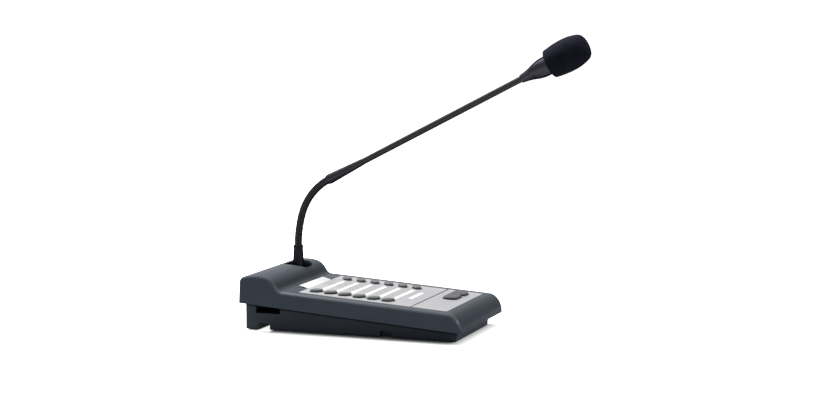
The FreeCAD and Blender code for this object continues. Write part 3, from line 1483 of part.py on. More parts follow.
def foam_windscreen():
    """Foam ball with a flat back and a blunt crown, hollow over the housing and grille."""
    tip = FOAM_START + FOAM_LENGTH
    wide = Vector(FOAM_RADIUS, 0, FOAM_START + FOAM_WIDEST)
    side_centre = Vector(FOAM_RADIUS - FOAM_SIDE_RADIUS, 0, wide.z)
    crown_centre = Vector(0, 0, tip - FOAM_CROWN_RADIUS)
    knuckle = knuckle_centre(
        side_centre,
        FOAM_SIDE_RADIUS - FOAM_KNUCKLE_RADIUS,
        crown_centre,
        FOAM_CROWN_RADIUS - FOAM_KNUCKLE_RADIUS,
    )
    side_end = side_centre + (knuckle - side_centre).normalize() * FOAM_SIDE_RADIUS
    crown_start = crown_centre + (knuckle - crown_centre).normalize() * FOAM_CROWN_RADIUS
    end = Vector(0, 0, tip)
    back = Vector(FOAM_BACK_RADIUS, 0, FOAM_START + FOAM_BACK_ROUND)
    rise, run = FOAM_RADIUS - FOAM_BACK_RADIUS, FOAM_WIDEST - FOAM_BACK_ROUND
    rear_radius = (rise**2 + run**2) / (2 * rise)
    rear_centre = Vector(FOAM_RADIUS - rear_radius, 0, wide.z)

    cavity = HEAD_RADIUS + FOAM_CAVITY_GAP
    cavity_end = Vector(0, 0, FOAM_START + FOAM_CAVITY_DEPTH)
    cavity_centre = cavity_end - Vector(0, 0, FOAM_CAVITY_CROWN)
    cavity_side = Vector(cavity, 0, cavity_centre.z + math.sqrt(FOAM_CAVITY_CROWN**2 - cavity**2))
    edges = [
        arc_round(rear_centre, rear_radius, back, wide),
        arc_round(side_centre, FOAM_SIDE_RADIUS, wide, side_end),
        arc_round(knuckle, FOAM_KNUCKLE_RADIUS, side_end, crown_start),
        arc_round(crown_centre, FOAM_CROWN_RADIUS, crown_start, end),
        Part.LineSegment(end, cavity_end).toShape(),
        arc_round(cavity_centre, FOAM_CAVITY_CROWN, cavity_end, cavity_side),
    ]
    corners = [
        cavity_side,
        Vector(cavity, 0, FOAM_START),
        Vector(FOAM_BACK_RADIUS - FOAM_BACK_ROUND, 0, FOAM_START),
        back,
    ]
    edges += [Part.LineSegment(a, b).toShape() for a, b in zip(corners[:-1], corners[1:])]
    face = Part.Face(Part.Wire(edges))
    return head_place(face.revolve(Vector(0, 0, 0), Vector(0, 0, 1), 360))


def mic_lead():
    """Lead from the plug on the link board, up the stem, hose and tube to the capsule."""
    plug_face = Vector(LEAD_PLUG_X, REAR_Y - lead_plug_start(), lead_plug_z())
    turn_y = NECK_Y - LEAD_BEND
    turn_z = lead_plug_z() + LEAD_BEND
    corner = LEAD_BEND * (1 - cos(45))
    bend_start = Vector(NECK_X, turn_y, lead_plug_z())
    bend_middle = Vector(NECK_X, NECK_Y - corner, lead_plug_z() + corner)
    bend_end = Vector(NECK_X, NECK_Y, turn_z)

    def on_neck(along):
        y, z, _ = neck_frame(along)
        return Vector(NECK_X, y, z)

    upper_end = NECK_LENGTH + HEAD_START + CAPSULE_START
    upper_middle = (LOWER_BEND_LENGTH + NECK_LENGTH) / 2
    edges = [
        Part.LineSegment(plug_face, bend_start).toShape(),
        Part.Arc(bend_start, bend_middle, bend_end).toShape(),
        Part.LineSegment(bend_end, on_neck(0)).toShape(),
        Part.Arc(on_neck(0), on_neck(LOWER_BEND_LENGTH / 2), on_neck(LOWER_BEND_LENGTH)).toShape(),
        Part.Arc(on_neck(LOWER_BEND_LENGTH), on_neck(upper_middle), on_neck(NECK_LENGTH)).toShape(),
        Part.LineSegment(on_neck(NECK_LENGTH), on_neck(upper_end)).toShape(),
    ]
    section = Part.Wire([Part.Circle(plug_face, Vector(0, 1, 0), LEAD_RADIUS).toShape()])
    lead = Part.Wire(edges).makePipeShell([section], True, False)
    length = sum(edge.Length for edge in edges)
    share = lead.Volume / (length * math.pi * LEAD_RADIUS**2)
    print("microphone lead: %.1f mm long, volume over section times length %.4f" % (length, share))
    return lead


def pieces():
    """Every separate piece, by the name of its file."""
    made = {
        "top_cover": top_cover,
        "base_tray": base_tray,
        "rubber_base_mat": rubber_base_mat,
        "housing_screws": housing_screws,
        "ballast_plate": ballast_plate,
        "ballast_clips": ballast_clips,
        "zone_film": zone_film,
        "speak_film": speak_film,
        "label_windows": label_windows,
        "label_sheet": label_sheet,
        "zone_lamps": zone_lamps,
        "main_board": main_board,
        "board_screws": board_screws,
        "key_switches": key_switches,
        "link_board": link_board,
        "data_sockets": data_sockets,
        "power_socket": power_socket,
        "stacking_header": stacking_header,
        "lead_plug": lead_plug,
        "mic_lead": mic_lead,
        "neck_cup": neck_cup,
        "cup_screws": cup_screws,
        "neck_stem": neck_stem,
        "stem_washer": stem_washer,
        "stem_nut": stem_nut,
        "neck_boot": neck_boot,
        "neck_root": neck_root,
        "neck_tip": neck_tip,
        "neck_collar": neck_collar,
        "arm_tube": arm_tube,
        "capsule_housing": capsule_housing,
        "capsule": capsule,
        "capsule_ring": capsule_ring,
        "head_grille": head_grille,
        "foam_windscreen": foam_windscreen,
    }
    for index in range(HINGE_COUNT - 1):
        made["neck_link_%d" % (index + 1)] = lambda index=index: neck_link(index)
    for name, key in KEYS.items():
        made[name] = key.solid
    return made


def main():
    os.makedirs("parts", exist_ok=True)
    for name, make in pieces().items():
        shape = make()
        if not shape.isValid():
            print("not valid:", name)
        shape.exportStep("parts/%s.step" % name)
    for index in range(HINGE_COUNT):
        y, z, lean = neck_frame(hinge_along(index))
        print("hinge %d at x %.3f y %.3f z %.3f, lean %.3f" % (index + 1, NECK_X, y, z, lean))
    print("closest that two hose stretches come at rest: %.2f mm" % HINGE_GAP)


main()
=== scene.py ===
import json
import logging
import math
from collections.abc import Sequence
from dataclasses import dataclass, field
from enum import Enum

import bmesh
import bpy
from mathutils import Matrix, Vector

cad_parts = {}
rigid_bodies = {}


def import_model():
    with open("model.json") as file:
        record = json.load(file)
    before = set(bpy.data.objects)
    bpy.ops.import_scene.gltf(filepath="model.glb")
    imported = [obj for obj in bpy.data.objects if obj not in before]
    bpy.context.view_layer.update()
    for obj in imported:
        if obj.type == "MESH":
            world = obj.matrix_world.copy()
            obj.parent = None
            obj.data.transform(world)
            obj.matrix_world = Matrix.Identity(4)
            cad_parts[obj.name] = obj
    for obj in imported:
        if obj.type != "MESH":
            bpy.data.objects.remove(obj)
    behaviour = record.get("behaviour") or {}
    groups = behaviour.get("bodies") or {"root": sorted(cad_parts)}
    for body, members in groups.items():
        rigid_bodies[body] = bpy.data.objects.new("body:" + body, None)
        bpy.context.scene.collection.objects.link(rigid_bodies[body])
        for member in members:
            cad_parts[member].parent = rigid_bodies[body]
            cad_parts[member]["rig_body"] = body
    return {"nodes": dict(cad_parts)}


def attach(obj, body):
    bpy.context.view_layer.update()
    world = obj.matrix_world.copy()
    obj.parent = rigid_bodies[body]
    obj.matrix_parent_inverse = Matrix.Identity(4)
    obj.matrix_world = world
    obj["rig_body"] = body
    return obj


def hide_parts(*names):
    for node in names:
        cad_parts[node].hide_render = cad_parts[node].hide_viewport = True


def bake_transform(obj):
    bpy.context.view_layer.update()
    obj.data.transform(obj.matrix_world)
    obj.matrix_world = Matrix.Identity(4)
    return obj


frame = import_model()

Colour = tuple[float, float, float]
Place = tuple[float, float, float]
Range = tuple[float, float]
Socket = bpy.types.NodeSocket
Material = bpy.types.Material
Piece = bpy.types.Object

LOG = logging.getLogger("desk_microphone")
MM = 0.001
TURN = 2 * math.pi
ACROSS = Vector((1, 0, 0))
BLACK = (0.0, 0.0, 0.0)
WHITE = (1.0, 1.0, 1.0)
FULL = (0.0, 1.0)

# Sockets of Blender's mix and vector nodes, which have one for each kind of value
MIX_COLOURS = (0, 6, 7)
MIX_RESULT = 2
VECTOR_SCALE = (0, 3)


class Side(Enum):
    """The two sides of the console, as the user sees them."""

    LEFT = -1
    RIGHT = 1


class Working(Enum):
    """How a metal piece was made, by the stretch of the fine lines that this left."""

    TURNED = (1.0, 1.0, 14.0)
    ROLLED = (12.0, 1.0, 1.0)


# Finishes


@dataclass(frozen=True)
class Grain:
    """Fine relief: its size and depth in millimetres, its strength and its finer layers."""

    size: float
    depth: float
    strength: float
    detail: float = 2.0


def scaled(colour: Colour, share: float) -> Colour:
    """A colour with each part taken times a share, and no more than 1."""
    return tuple(min(1.0, share * part) for part in colour)


class Graph:
    """A node tree under construction, with short calls for adding to it."""

    def __init__(self, tree: bpy.types.NodeTree) -> None:
        """Take a tree, which may have nodes already."""
        self.tree = tree

    def node(
        self, kind: str, inputs: dict[object, object] | None = None, **options: object
    ) -> bpy.types.Node:
        """Add a node, set its options and fill its inputs.

        Args:
            kind: Blender's name for the node type.
            inputs: A value or a socket for each input, by its name or number.
            options: Settings of the node itself.

        Returns:
            The new node.
        """
        made = self.tree.nodes.new(kind)
        for name, value in options.items():
            setattr(made, name, value)
        for key, value in (inputs or {}).items():
            self.fill(made.inputs[key], value)
        return made

    def fill(self, socket: Socket, value: object) -> None:
        """Link a socket to another one, or set its value.

        Args:
            socket: The input to fill.
            value: A socket, a value, or a colour without its alpha.
        """
        if isinstance(value, Socket):
            self.tree.links.new(value, socket)
        elif socket.type == "RGBA":
            socket.default_value = (*value, 1.0)
        else:
            socket.default_value = value

    def out(self, kind: str, *inputs: dict[object, object], **options: object) -> Socket:
        """Add a node as above and hand over its first output."""
        return self.node(kind, *inputs, **options).outputs[0]

    def math(self, operation: str, *values: object) -> Socket:
        """One arithmetic step on values or sockets."""
        return self.out("ShaderNodeMath", dict(enumerate(values)), operation=operation)


class Recipe(Graph):
    """The node tree of one finish, with short calls for what most finishes need."""

    def __init__(self, name: str) -> None:
        """Start an empty finish round one main shader.

        Args:
            name: The finish's name, in a maker's words.
        """
        self.material = bpy.data.materials.new(name)
        self.material.use_nodes = True
        super().__init__(self.material.node_tree)
        self.shader = self.tree.nodes["Principled BSDF"]
        read = self.node("ShaderNodeTexCoord").outputs
        self.position, self.normal = read["Object"], read["Normal"]

    def stretched(self, scale: Place) -> Socket:
        """Object coordinates, stretched by a scale of its own along each axis."""
        inputs = {"Vector": self.position, "Scale": scale}
        return self.node("ShaderNodeMapping", inputs).outputs["Vector"]

    def noise(self, size: float, detail: float = 3.0, place: Socket | None = None) -> Socket:
        """Noise from 0 to 1, by a cloud's size in millimetres and how many finer layers it has."""
        inputs = {"Vector": place or self.position, "Scale": 1.0 / (size * MM), "Detail": detail}
        return self.node("ShaderNodeTexNoise", inputs).outputs["Fac"]

    def cells(self, size: float) -> Socket:
        """Distance within cells of a size in millimetres."""
        inputs = {"Vector": self.position, "Scale": 1.0 / (size * MM)}
        return self.node("ShaderNodeTexVoronoi", inputs).outputs["Distance"]

    def spread(
        self, value: Socket, low: float, high: float, start: float = 0.3, end: float = 0.7
    ) -> Socket:
        """Map a value so that start becomes low and end becomes high, held at both ends."""
        ends = {"From Min": start, "From Max": end, "To Min": low, "To Max": high}
        return self.node("ShaderNodeMapRange", {"Value": value} | ends).outputs["Result"]

    def mix(self, factor: Socket, first: object, second: object) -> Socket:
        """Mix two colours or sockets; the factor says how much of the second one shows."""
        inputs = dict(zip(MIX_COLOURS, (factor, first, second)))
        return self.node("ShaderNodeMix", inputs, data_type="RGBA").outputs[MIX_RESULT]

    def mottle(self, cloud: Socket, first: object, second: object, share: float = 1.0) -> Socket:
        """The first colour, clouded by a share of the second."""
        return self.mix(self.spread(cloud, 0.0, share), first, second)

    def part_of(self, vector: Socket, axis: str) -> Socket:
        """One axis of a vector."""
        return self.node("ShaderNodeSeparateXYZ", {"Vector": vector}).outputs[axis]

    def height(self, slope: float) -> Socket:
        """Height in metres above a plane that rises by a slope towards the rear."""
        rise = self.math("MULTIPLY", self.part_of(self.position, "Y"), slope)
        return self.math("SUBTRACT", self.part_of(self.position, "Z"), rise)

    def upward(self, start: float, end: float, most: float = 1.0) -> Socket:
        """How far the surface faces up, from 0 to a most."""
        return self.spread(self.part_of(self.normal, "Z"), 0.0, most, start, end)

    def relief(self, height: Socket, depth: float, strength: float) -> None:
        """Raise the surface by a height value, with a depth in millimetres."""
        inputs = {"Height": height, "Distance": depth * MM, "Strength": strength}
        self.fill(self.shader.inputs["Normal"], self.node("ShaderNodeBump", inputs).outputs[0])

    def grained(self, grain: Grain, place: Socket | None = None) -> Socket:
        """Raise the surface by fine noise.

        Args:
            grain: The noise's size and depth.
            place: Coordinates to read, or None for plain object coordinates.

        Returns:
            The noise.
        """
        speck = self.noise(grain.size, grain.detail, place)
        self.relief(speck, grain.depth, grain.strength)
        return speck

    def finish(self, **settings: object) -> Material:
        """Fill the main shader's inputs and hand the finish over.

        Args:
            settings: A value or a socket for each input, by its name in lower case.

        Returns:
            The finished material.
        """
        names = {socket.name.lower().replace(" ", "_"): socket for socket in self.shader.inputs}
        for name, value in settings.items():
            self.fill(names[name], value)
        return self.material


@dataclass(frozen=True)
class Clouded:
    """A finish of one colour, clouded by a second one, over a fine relief."""

    name: str
    colour: Colour
    second: Colour | float  # A colour, or a share of the first one
    roughness: Range | float
    grain: Grain = Grain(0.35, 0.02, 0.6)
    cloud: Range | None = None  # Size and finer layers; without it the grain itself clouds
    share: float = 1.0
    stretch: Place | None = None
    patchy: bool = False  # The clouds, not the grain, vary the roughness
    specular: float = 0.5
    tint: Colour = WHITE
    metallic: float = 0.0
    opacity: float = 1.0
    coat: Range = (0.0, 0.03)

    def make(self) -> Material:
        """Build the material.

        Returns:
            The finished material.
        """
        recipe = Recipe(self.name)
        place = recipe.stretched(self.stretch) if self.stretch else None
        speck = recipe.grained(self.grain, place)
        cloud = recipe.noise(*self.cloud) if self.cloud else speck
        second, roughness = self.second, self.roughness
        if isinstance(second, float):
            second = scaled(self.colour, second)
        if isinstance(roughness, tuple):
            roughness = recipe.spread(cloud if self.patchy else speck, *roughness)
        return recipe.finish(
            base_color=recipe.mottle(cloud, self.colour, second, self.share),
            roughness=roughness,
            specular_ior_level=self.specular,
            specular_tint=self.tint,
            metallic=self.metallic,
            alpha=self.opacity,
            coat_weight=self.coat[0],
            coat_roughness=self.coat[1],
        )


@dataclass(frozen=True)
class MouldedPlastic(Clouded):
    """Injection-moulded plastic with the fine grain of an etched mould."""

    cloud: Range | None = (28.0, 3.0)


@dataclass(frozen=True)
class SatinBlack(Clouded):
    """Black-plated metal with a satin gloss, dark towards its outline, under a little dust."""

    grain: Grain = Grain(1.1, 0.01, 0.5)
    cloud: Range | None = (9.0, 4.0)
    share: float = 0.6
    patchy: bool = True
    tint: Colour = BLACK
    metallic: float = 1.0


@dataclass(frozen=True)
class SoftRubber(Clouded):
    """Matt rubber with a dusty bloom."""

    roughness: Range | float = (0.7, 0.85)
    grain: Grain = Grain(0.5, 0.03, 0.7)
    cloud: Range | None = (6.0, 5.0)
    share: float = 0.7
    patchy: bool = True
    specular: float = 0.3


@dataclass(frozen=True)
class BareMetal(Clouded):
    """Bare or plated metal with stains and the fine lines that its making left."""

    grain: Grain = Grain(2.0, 0.008, 0.5, 3.0)
    cloud: Range | None = (7.0, 3.0)
    stretch: Place | None = Working.TURNED.value
    metallic: float = 1.0


@dataclass(frozen=True)
class CoverPlastic:
    """Grained plastic of the cover: paler and greyer on upward faces as painted top light,
    burnished on its flank edges.
    """

    name: str
    colour: Colour
    shade: Colour
    # Paler colour that upward faces take: painted top light
    painted_top_light: Colour
    painted_top_light_facing: Range = (0.3, 0.85)
    roughness: float = 0.3
    specular: float = 0.004
    edge_roughness: float = 0.22
    edge_specular: float = 0.4
    edge_facing: Range = (0.05, 0.3)
    edge_starts: float = 64.4
    edge_full: float = 65.3
    handled_to: float = 66.0
    unhandled_from: float = 82.0
    cloud: float = 28.0
    grain: Grain = Grain(0.4, 0.012, 0.6)

    def make(self) -> Material:
        """Build the material.

        Returns:
            The finished material.
        """
        recipe = Recipe(self.name)
        recipe.grained(self.grain)
        outward = recipe.math("ABSOLUTE", recipe.part_of(recipe.position, "X"))
        edge = recipe.spread(outward, *FULL, self.edge_starts * MM, self.edge_full * MM)
        edge = recipe.math("MULTIPLY", edge, recipe.upward(*self.edge_facing))
        rearward = recipe.part_of(recipe.position, "Y")
        handled = recipe.spread(
            rearward, 1.0, 0.0, self.handled_to * MM, self.unhandled_from * MM
        )
        edge = recipe.math("MULTIPLY", edge, handled)
        # Upward faces take the paler colour, as painted top light
        plain = recipe.mottle(recipe.noise(self.cloud), self.colour, self.shade)
        return recipe.finish(
            base_color=recipe.mix(recipe.upward(*self.painted_top_light_facing), plain, self.painted_top_light),
            roughness=recipe.spread(edge, self.roughness, self.edge_roughness, *FULL),
            specular_ior_level=recipe.spread(edge, self.specular, self.edge_specular, *FULL),
        )


@dataclass(frozen=True)
class TrayPlastic:
    """Grained plastic of the tray, near-black as painted shade in the recess under the cover's edge
    and a little below it.
    """

    name: str
    colour: Colour
    shade: Colour
    # Near-black painted shade under the cover's overhang: full down to black_down_to, gone by
    # fades_by below its edge
    painted_overhang_shade: Colour = (0.002, 0.002, 0.003)
    black_down_to: float = 4.0
    fades_by: float = 6.2
    edge_level: float = 21.329
    edge_slope: float = 0.07431
    roughness: Range = (0.55, 0.67)
    specular: float = 0.06
    cloud: float = 28.0
    grain: Grain = Grain(0.5, 0.03, 0.6)

    def make(self) -> Material:
        """Build the material.

        Returns:
            The finished material.
        """
        recipe = Recipe(self.name)
        speck = recipe.grained(self.grain)
        # Painted shade: black just under the cover's edge, fading lower down, with its gloss taken
        # away
        low, high = (self.edge_level - depth for depth in (self.fades_by, self.black_down_to))
        painted_overhang_shade = recipe.spread(recipe.height(self.edge_slope), *FULL, low * MM, high * MM)
        plain = recipe.mottle(recipe.noise(self.cloud), self.colour, self.shade)
        return recipe.finish(
            base_color=recipe.mix(painted_overhang_shade, plain, self.painted_overhang_shade),
            roughness=recipe.spread(speck, *self.roughness),
            specular_ior_level=recipe.spread(painted_overhang_shade, self.specular, 0.0, *FULL),
        )


@dataclass(frozen=True)
class MouldedKey:
    """Key with a grey cap over a near-black foot that starts just above the film; the foot's black
    is painted shade.
    """

    name: str
    colour: Colour
    # Near-black painted shade at the key's foot, next to the film
    foot_shade: Colour
    panel_slope: float = 3.8
    panel_level: float = 38.432
    cap_start: float = 0.55
    cap_full: float = 1.0
    worn: float = 0.88
    worn_patch: float = 5.0
    roughness: Range = (0.4, 0.52)
    specular: Range = (0.05, 0.3)
    grain: Grain = Grain(0.3, 0.015, 0.6)

    def make(self) -> Material:
        """Build the material.

        Returns:
            The finished material.
        """
        recipe = Recipe(self.name)
        speck = recipe.grained(self.grain)
        # Near-black painted shade below cap_start above the film, grey cap from cap_full up
        low, high = (self.panel_level + level for level in (self.cap_start, self.cap_full))
        above_film = recipe.height(math.tan(math.radians(self.panel_slope)))
        cap = recipe.spread(above_film, *FULL, low * MM, high * MM)
        patch = recipe.noise(self.worn_patch)
        grey = recipe.mottle(patch, self.colour, scaled(self.colour, self.worn))
        return recipe.finish(
            base_color=recipe.mix(cap, self.foot_shade, grey),
            roughness=recipe.spread(speck, *self.roughness),
            specular_ior_level=recipe.spread(cap, *self.specular, *FULL),
        )


@dataclass(frozen=True)
class PrintedFilm:
    """Silver print on the back of a matt polyester film."""

    name: str
    colour: Colour
    fleck: Colour
    flecks: Grain = Grain(0.25, 0.006, 0.5)
    wave: float = 40.0
    wave_layers: float = 1.0
    roughness: Range = (0.6, 0.7)
    metallic: float = 0.15
    specular: float = 0.35

    def make(self) -> Material:
        """Build the material.

        Returns:
            The finished material.
        """
        recipe = Recipe(self.name)
        fleck = recipe.noise(self.flecks.size, self.flecks.detail)
        uneven = recipe.math("ADD", fleck, recipe.noise(self.wave, self.wave_layers))
        recipe.relief(uneven, self.flecks.depth, self.flecks.strength)
        return recipe.finish(
            base_color=recipe.mottle(fleck, self.colour, self.fleck),
            roughness=recipe.spread(fleck, *self.roughness),
            metallic=self.metallic,
            specular_ior_level=self.specular,
        )


@dataclass(frozen=True)
class CircuitBoard:
    """Solder mask over copper tracks, with a weave that shows through."""

    name: str
    mask: Colour
    track: Colour
    track_scale: float = 90.0
    track_width: float = 0.035
    weave: Grain = Grain(0.6, 0.02, 0.5)
    weave_stretch: Place = (1.0, 3.0, 1.0)
    weave_shade: float = 0.5
    roughness: float = 0.3
    coat: float = 0.3
    coat_roughness: float = 0.2

    def make(self) -> Material:
        """Build the material.

        Returns:
            The finished material.
        """
        recipe = Recipe(self.name)
        bricks = {"Color1": BLACK, "Color2": BLACK, "Mortar": WHITE}
        bricks |= {"Vector": recipe.position, "Scale": self.track_scale}
        bricks["Mortar Size"] = self.track_width
        tracks = recipe.node("ShaderNodeTexBrick", bricks).outputs["Color"]
        place = recipe.stretched(self.weave_stretch)
        weave = recipe.noise(self.weave.size, self.weave.detail, place)
        darker = scaled(self.mask, self.weave_shade)
        base = recipe.mottle(weave, self.mask, darker, self.weave_shade)
        recipe.relief(recipe.math("ADD", tracks, weave), self.weave.depth, self.weave.strength)
        return recipe.finish(
            base_color=recipe.mix(tracks, base, self.track),
            roughness=self.roughness,
            coat_weight=self.coat,
            coat_roughness=self.coat_roughness,
        )


@dataclass(frozen=True)
class OpenFoam:
    """Open-cell foam: each cell is a pit between fine struts, darkened as painted shade, and upward
    faces are paler as painted top light.
    """

    name: str
    strut: Colour
    # Colour of the cell pits: painted shade
    pit: Colour
    # Paler colour that upward faces take: painted top light
    foam_top_light: Colour
    cell: float = 0.55
    cell_walls: Range = (0.15, 0.6)
    fine_share: float = 0.4
    fine_walls: Range = (0.1, 0.6)
    pit_range: Range = (0.1, 1.2)
    patch: float = 9.0
    patch_share: float = 0.35
    foam_top_light_facing: Range = (0.1, 0.9)
    foam_top_light_share: float = 0.8
    pit_depth: float = 0.16
    pit_strength: float = 0.9
    roughness: float = 0.95
    specular: float = 0.02

    def make(self) -> Material:
        """Build the material.

        Returns:
            The finished material.
        """
        recipe = Recipe(self.name)
        cells = recipe.spread(recipe.cells(self.cell), 1.0, 0.0, *self.cell_walls)
        fine = recipe.cells(0.5 * self.cell)
        fine = recipe.spread(fine, self.fine_share, 0.0, *self.fine_walls)
        pits = recipe.math("ADD", cells, fine)
        # Pits take the pit colour: painted shade in the cells
        colour = recipe.mix(recipe.spread(pits, *FULL, *self.pit_range), self.strut, self.pit)
        colour = recipe.mottle(recipe.noise(self.patch), colour, self.pit, self.patch_share)
        # Upward faces paler: painted top light
        lit_from_above = recipe.upward(*self.foam_top_light_facing, self.foam_top_light_share)
        struts = recipe.math("SUBTRACT", 1.0, pits)
        recipe.relief(struts, self.pit_depth, self.pit_strength)
        return recipe.finish(
            base_color=recipe.mix(lit_from_above, colour, self.foam_top_light),
            roughness=self.roughness,
            specular_ior_level=self.specular,
        )


@dataclass(frozen=True)
class WoundHose:
    """Black sleeve of the wound neck, a little polished where hands touch the ribs; its paler
    crests are partly wear and partly painted highlight, its darker valleys painted shade.
    """

    name: str
    # Valley colour: painted shade between the ribs
    valley: Colour
    # Crest colour: partly wear, partly painted highlight
    crest: Colour
    valley_roughness: float = 0.2
    roughness: Range = (0.3, 0.42)
    grain: Grain = Grain(0.4, 0.01, 0.5, 3.0)

    def make(self) -> Material:
        """Build the material.

        Returns:
            The finished material.
        """
        recipe = Recipe(self.name)
        speck = recipe.grained(self.grain)
        height = recipe.node("ShaderNodeAttribute", attribute_name="rib_height").outputs["Fac"]
        rougher = recipe.spread(height, self.valley_roughness, 0.0, *FULL)
        return recipe.finish(
            base_color=recipe.mix(height, self.valley, self.crest),
            roughness=recipe.math("ADD", recipe.spread(speck, *self.roughness), rougher),
            metallic=1.0,
            specular_tint=BLACK,
        )


class Finishes:
    """Every finish of the microphone, each made once and kept by its name."""

    # Near-black: the cup's own colour, and the painted shade at the keys' feet
    CUP_BLACK_AND_KEY_SHADE = (0.004, 0.004, 0.005)
    SHEETS = (
        # The cover's third colour is its painted top light
        CoverPlastic(
            "cover_blue_grey", (0.031, 0.038, 0.05), (0.035, 0.042, 0.055), (0.061, 0.07, 0.081)
        ),
        TrayPlastic("tray_charcoal", (0.025, 0.031, 0.04), (0.029, 0.036, 0.045)),
        MouldedPlastic("cup_black", CUP_BLACK_AND_KEY_SHADE, (0.006, 0.006, 0.007), (0.45, 0.57), specular=0.2),
        MouldedKey("key_grey", (0.078, 0.083, 0.083), CUP_BLACK_AND_KEY_SHADE),
        MouldedKey("speak_key_grey", (0.04, 0.042, 0.045), CUP_BLACK_AND_KEY_SHADE),
        MouldedPlastic(
            "socket_black", (0.008, 0.008, 0.009), (0.011, 0.011, 0.012), (0.35, 0.47), specular=0.3
        ),
        MouldedPlastic("plug_ivory", (0.62, 0.57, 0.44), (0.55, 0.5, 0.38), (0.35, 0.47)),
        SoftRubber("mat_rubber", (0.018, 0.018, 0.018), (0.035, 0.034, 0.033)),
        SoftRubber("ring_rubber", (0.02, 0.02, 0.02), (0.04, 0.04, 0.04)),
        SoftRubber("lead_sheath", (0.03, 0.03, 0.032), (0.04, 0.04, 0.042)),
        BareMetal("zinc_plate", (0.62, 0.63, 0.64), 0.75, (0.24, 0.44)),
        BareMetal(
            "ballast_steel", (0.32, 0.31, 0.3), 0.75, (0.42, 0.62), stretch=Working.ROLLED.value
        ),
        BareMetal("turned_brass", (0.78, 0.6, 0.28), 0.75, (0.2, 0.4)),
        BareMetal("capsule_nickel", (0.66, 0.65, 0.62), 0.75, (0.17, 0.37)),
        BareMetal("header_gold", (0.8, 0.62, 0.3), 0.75, (0.22, 0.42)),
        PrintedFilm("silver_film", (0.28, 0.28, 0.29), (0.325, 0.325, 0.335)),
        Clouded(
            "label_paper",
            (0.62, 0.62, 0.63),
            (0.57, 0.57, 0.57),
            0.8,
            Grain(0.8, 0.01, 0.5, 5.0),
            stretch=(1.0, 0.25, 1.0),
            specular=0.3,
        ),
        Clouded(
            "clear_window",
            (0.9, 0.9, 0.9),
            WHITE,
            (0.1, 0.2),
            Grain(3.0, 0.004, 0.4, 3.0),
            share=0.4,
            opacity=0.85,
        ),
        Clouded(
            "light_pipe", (0.2, 0.21, 0.21), 0.6, 0.2, Grain(0.9, 0.01, 0.3, 3.0), coat=(0.5, 0.1)
        ),
        CircuitBoard("board_green", (0.01, 0.1, 0.045), (0.03, 0.2, 0.09)),
        SatinBlack("arm_black", (0.02, 0.02, 0.022), 1.3, (0.36, 0.48)),
        SatinBlack("bell_black", (0.022, 0.022, 0.027), 1.3, (0.32, 0.44)),
        SatinBlack("grille_black", (0.02, 0.02, 0.02), 1.3, (0.36, 0.48)),
        SatinBlack(
            "boot_satin", (0.011, 0.011, 0.014), 1.3, (0.34, 0.46), Grain(0.9, 0.01, 0.5)
        ),
        # The foam's pit colour is painted shade and its third colour painted top light
        OpenFoam(
            "open_foam", (0.0095, 0.01, 0.016), (0.001, 0.001, 0.002), (0.024, 0.025, 0.035)
        ),
        WoundHose("wound_hose", (0.004, 0.004, 0.005), (0.027, 0.027, 0.03)),
    )

    def __init__(self) -> None:
        """Build every finish once."""
        self.made = {sheet.name: sheet.make() for sheet in self.SHEETS}

    def __getitem__(self, name: str) -> Material:
        """The finish of that name."""
        return self.made[name]


# Help with meshes and Geometry Nodes


def dress(nodes: Sequence[str], finish: Material) -> None:
    """Give carried-over CAD nodes a finish.

    Args:
        nodes: Names of the nodes.
        finish: The material that they all get.
    """
    for name in nodes:
        piece = frame["nodes"][name]
        for slot in piece.material_slots:
            slot.material = finish
        if not piece.material_slots:
            piece.data.materials.append(finish)


def link_piece(name: str, data: bpy.types.ID) -> Piece:
    """Put a mesh, curve, camera or lamp in the scene at the origin.

    Args:
        name: The new object's name.
        data: What it shows.

    Returns:
        The new object.
    """
    piece = bpy.data.objects.new(name, data)
    bpy.context.scene.collection.objects.link(piece)
    return piece


def aim(holder: Piece, place: Place, target: Place) -> None:
    """Put a camera or a lamp in its place and turn it to a target."""
    holder.location = place
    holder.rotation_euler = (Vector(target) - Vector(place)).to_track_quat("-Z", "Y").to_euler()


def fair_copy(
    node: str, finish: Material, crease: float = 30.0, merge: float = 0.002, sliver: float = 0.001
) -> None:
    """Stand a joined, smooth-shaded copy in for a CAD node whose curves show.

    Args:
        node: The CAD node that the copy replaces, and whose body it rides on.
        finish: The copy's material.
        crease: Angle in degrees past which an edge stays sharp.
        merge: Distance in millimetres within which points are joined.
        sliver: Length in millimetres below which an edge goes.
    """
    source = frame["nodes"][node]
    mesh = bpy.data.meshes.new(node + "_surface")
    work = bmesh.new()
    work.from_mesh(source.data)
    bmesh.ops.remove_doubles(work, verts=work.verts, dist=merge * MM)
    bmesh.ops.dissolve_degenerate(work, edges=work.edges, dist=sliver * MM)
    sharp = math.radians(crease)
    for edge in work.edges:
        edge.smooth = len(edge.link_faces) == 2 and edge.calc_face_angle(0.0) < sharp
    for face in work.faces:
        face.smooth = True
        face.material_index = 0
    work.to_mesh(mesh)
    work.free()
    mesh.materials.append(finish)
    piece = link_piece(node + "_fair", mesh)
    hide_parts(node)
    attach(piece, source["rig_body"])


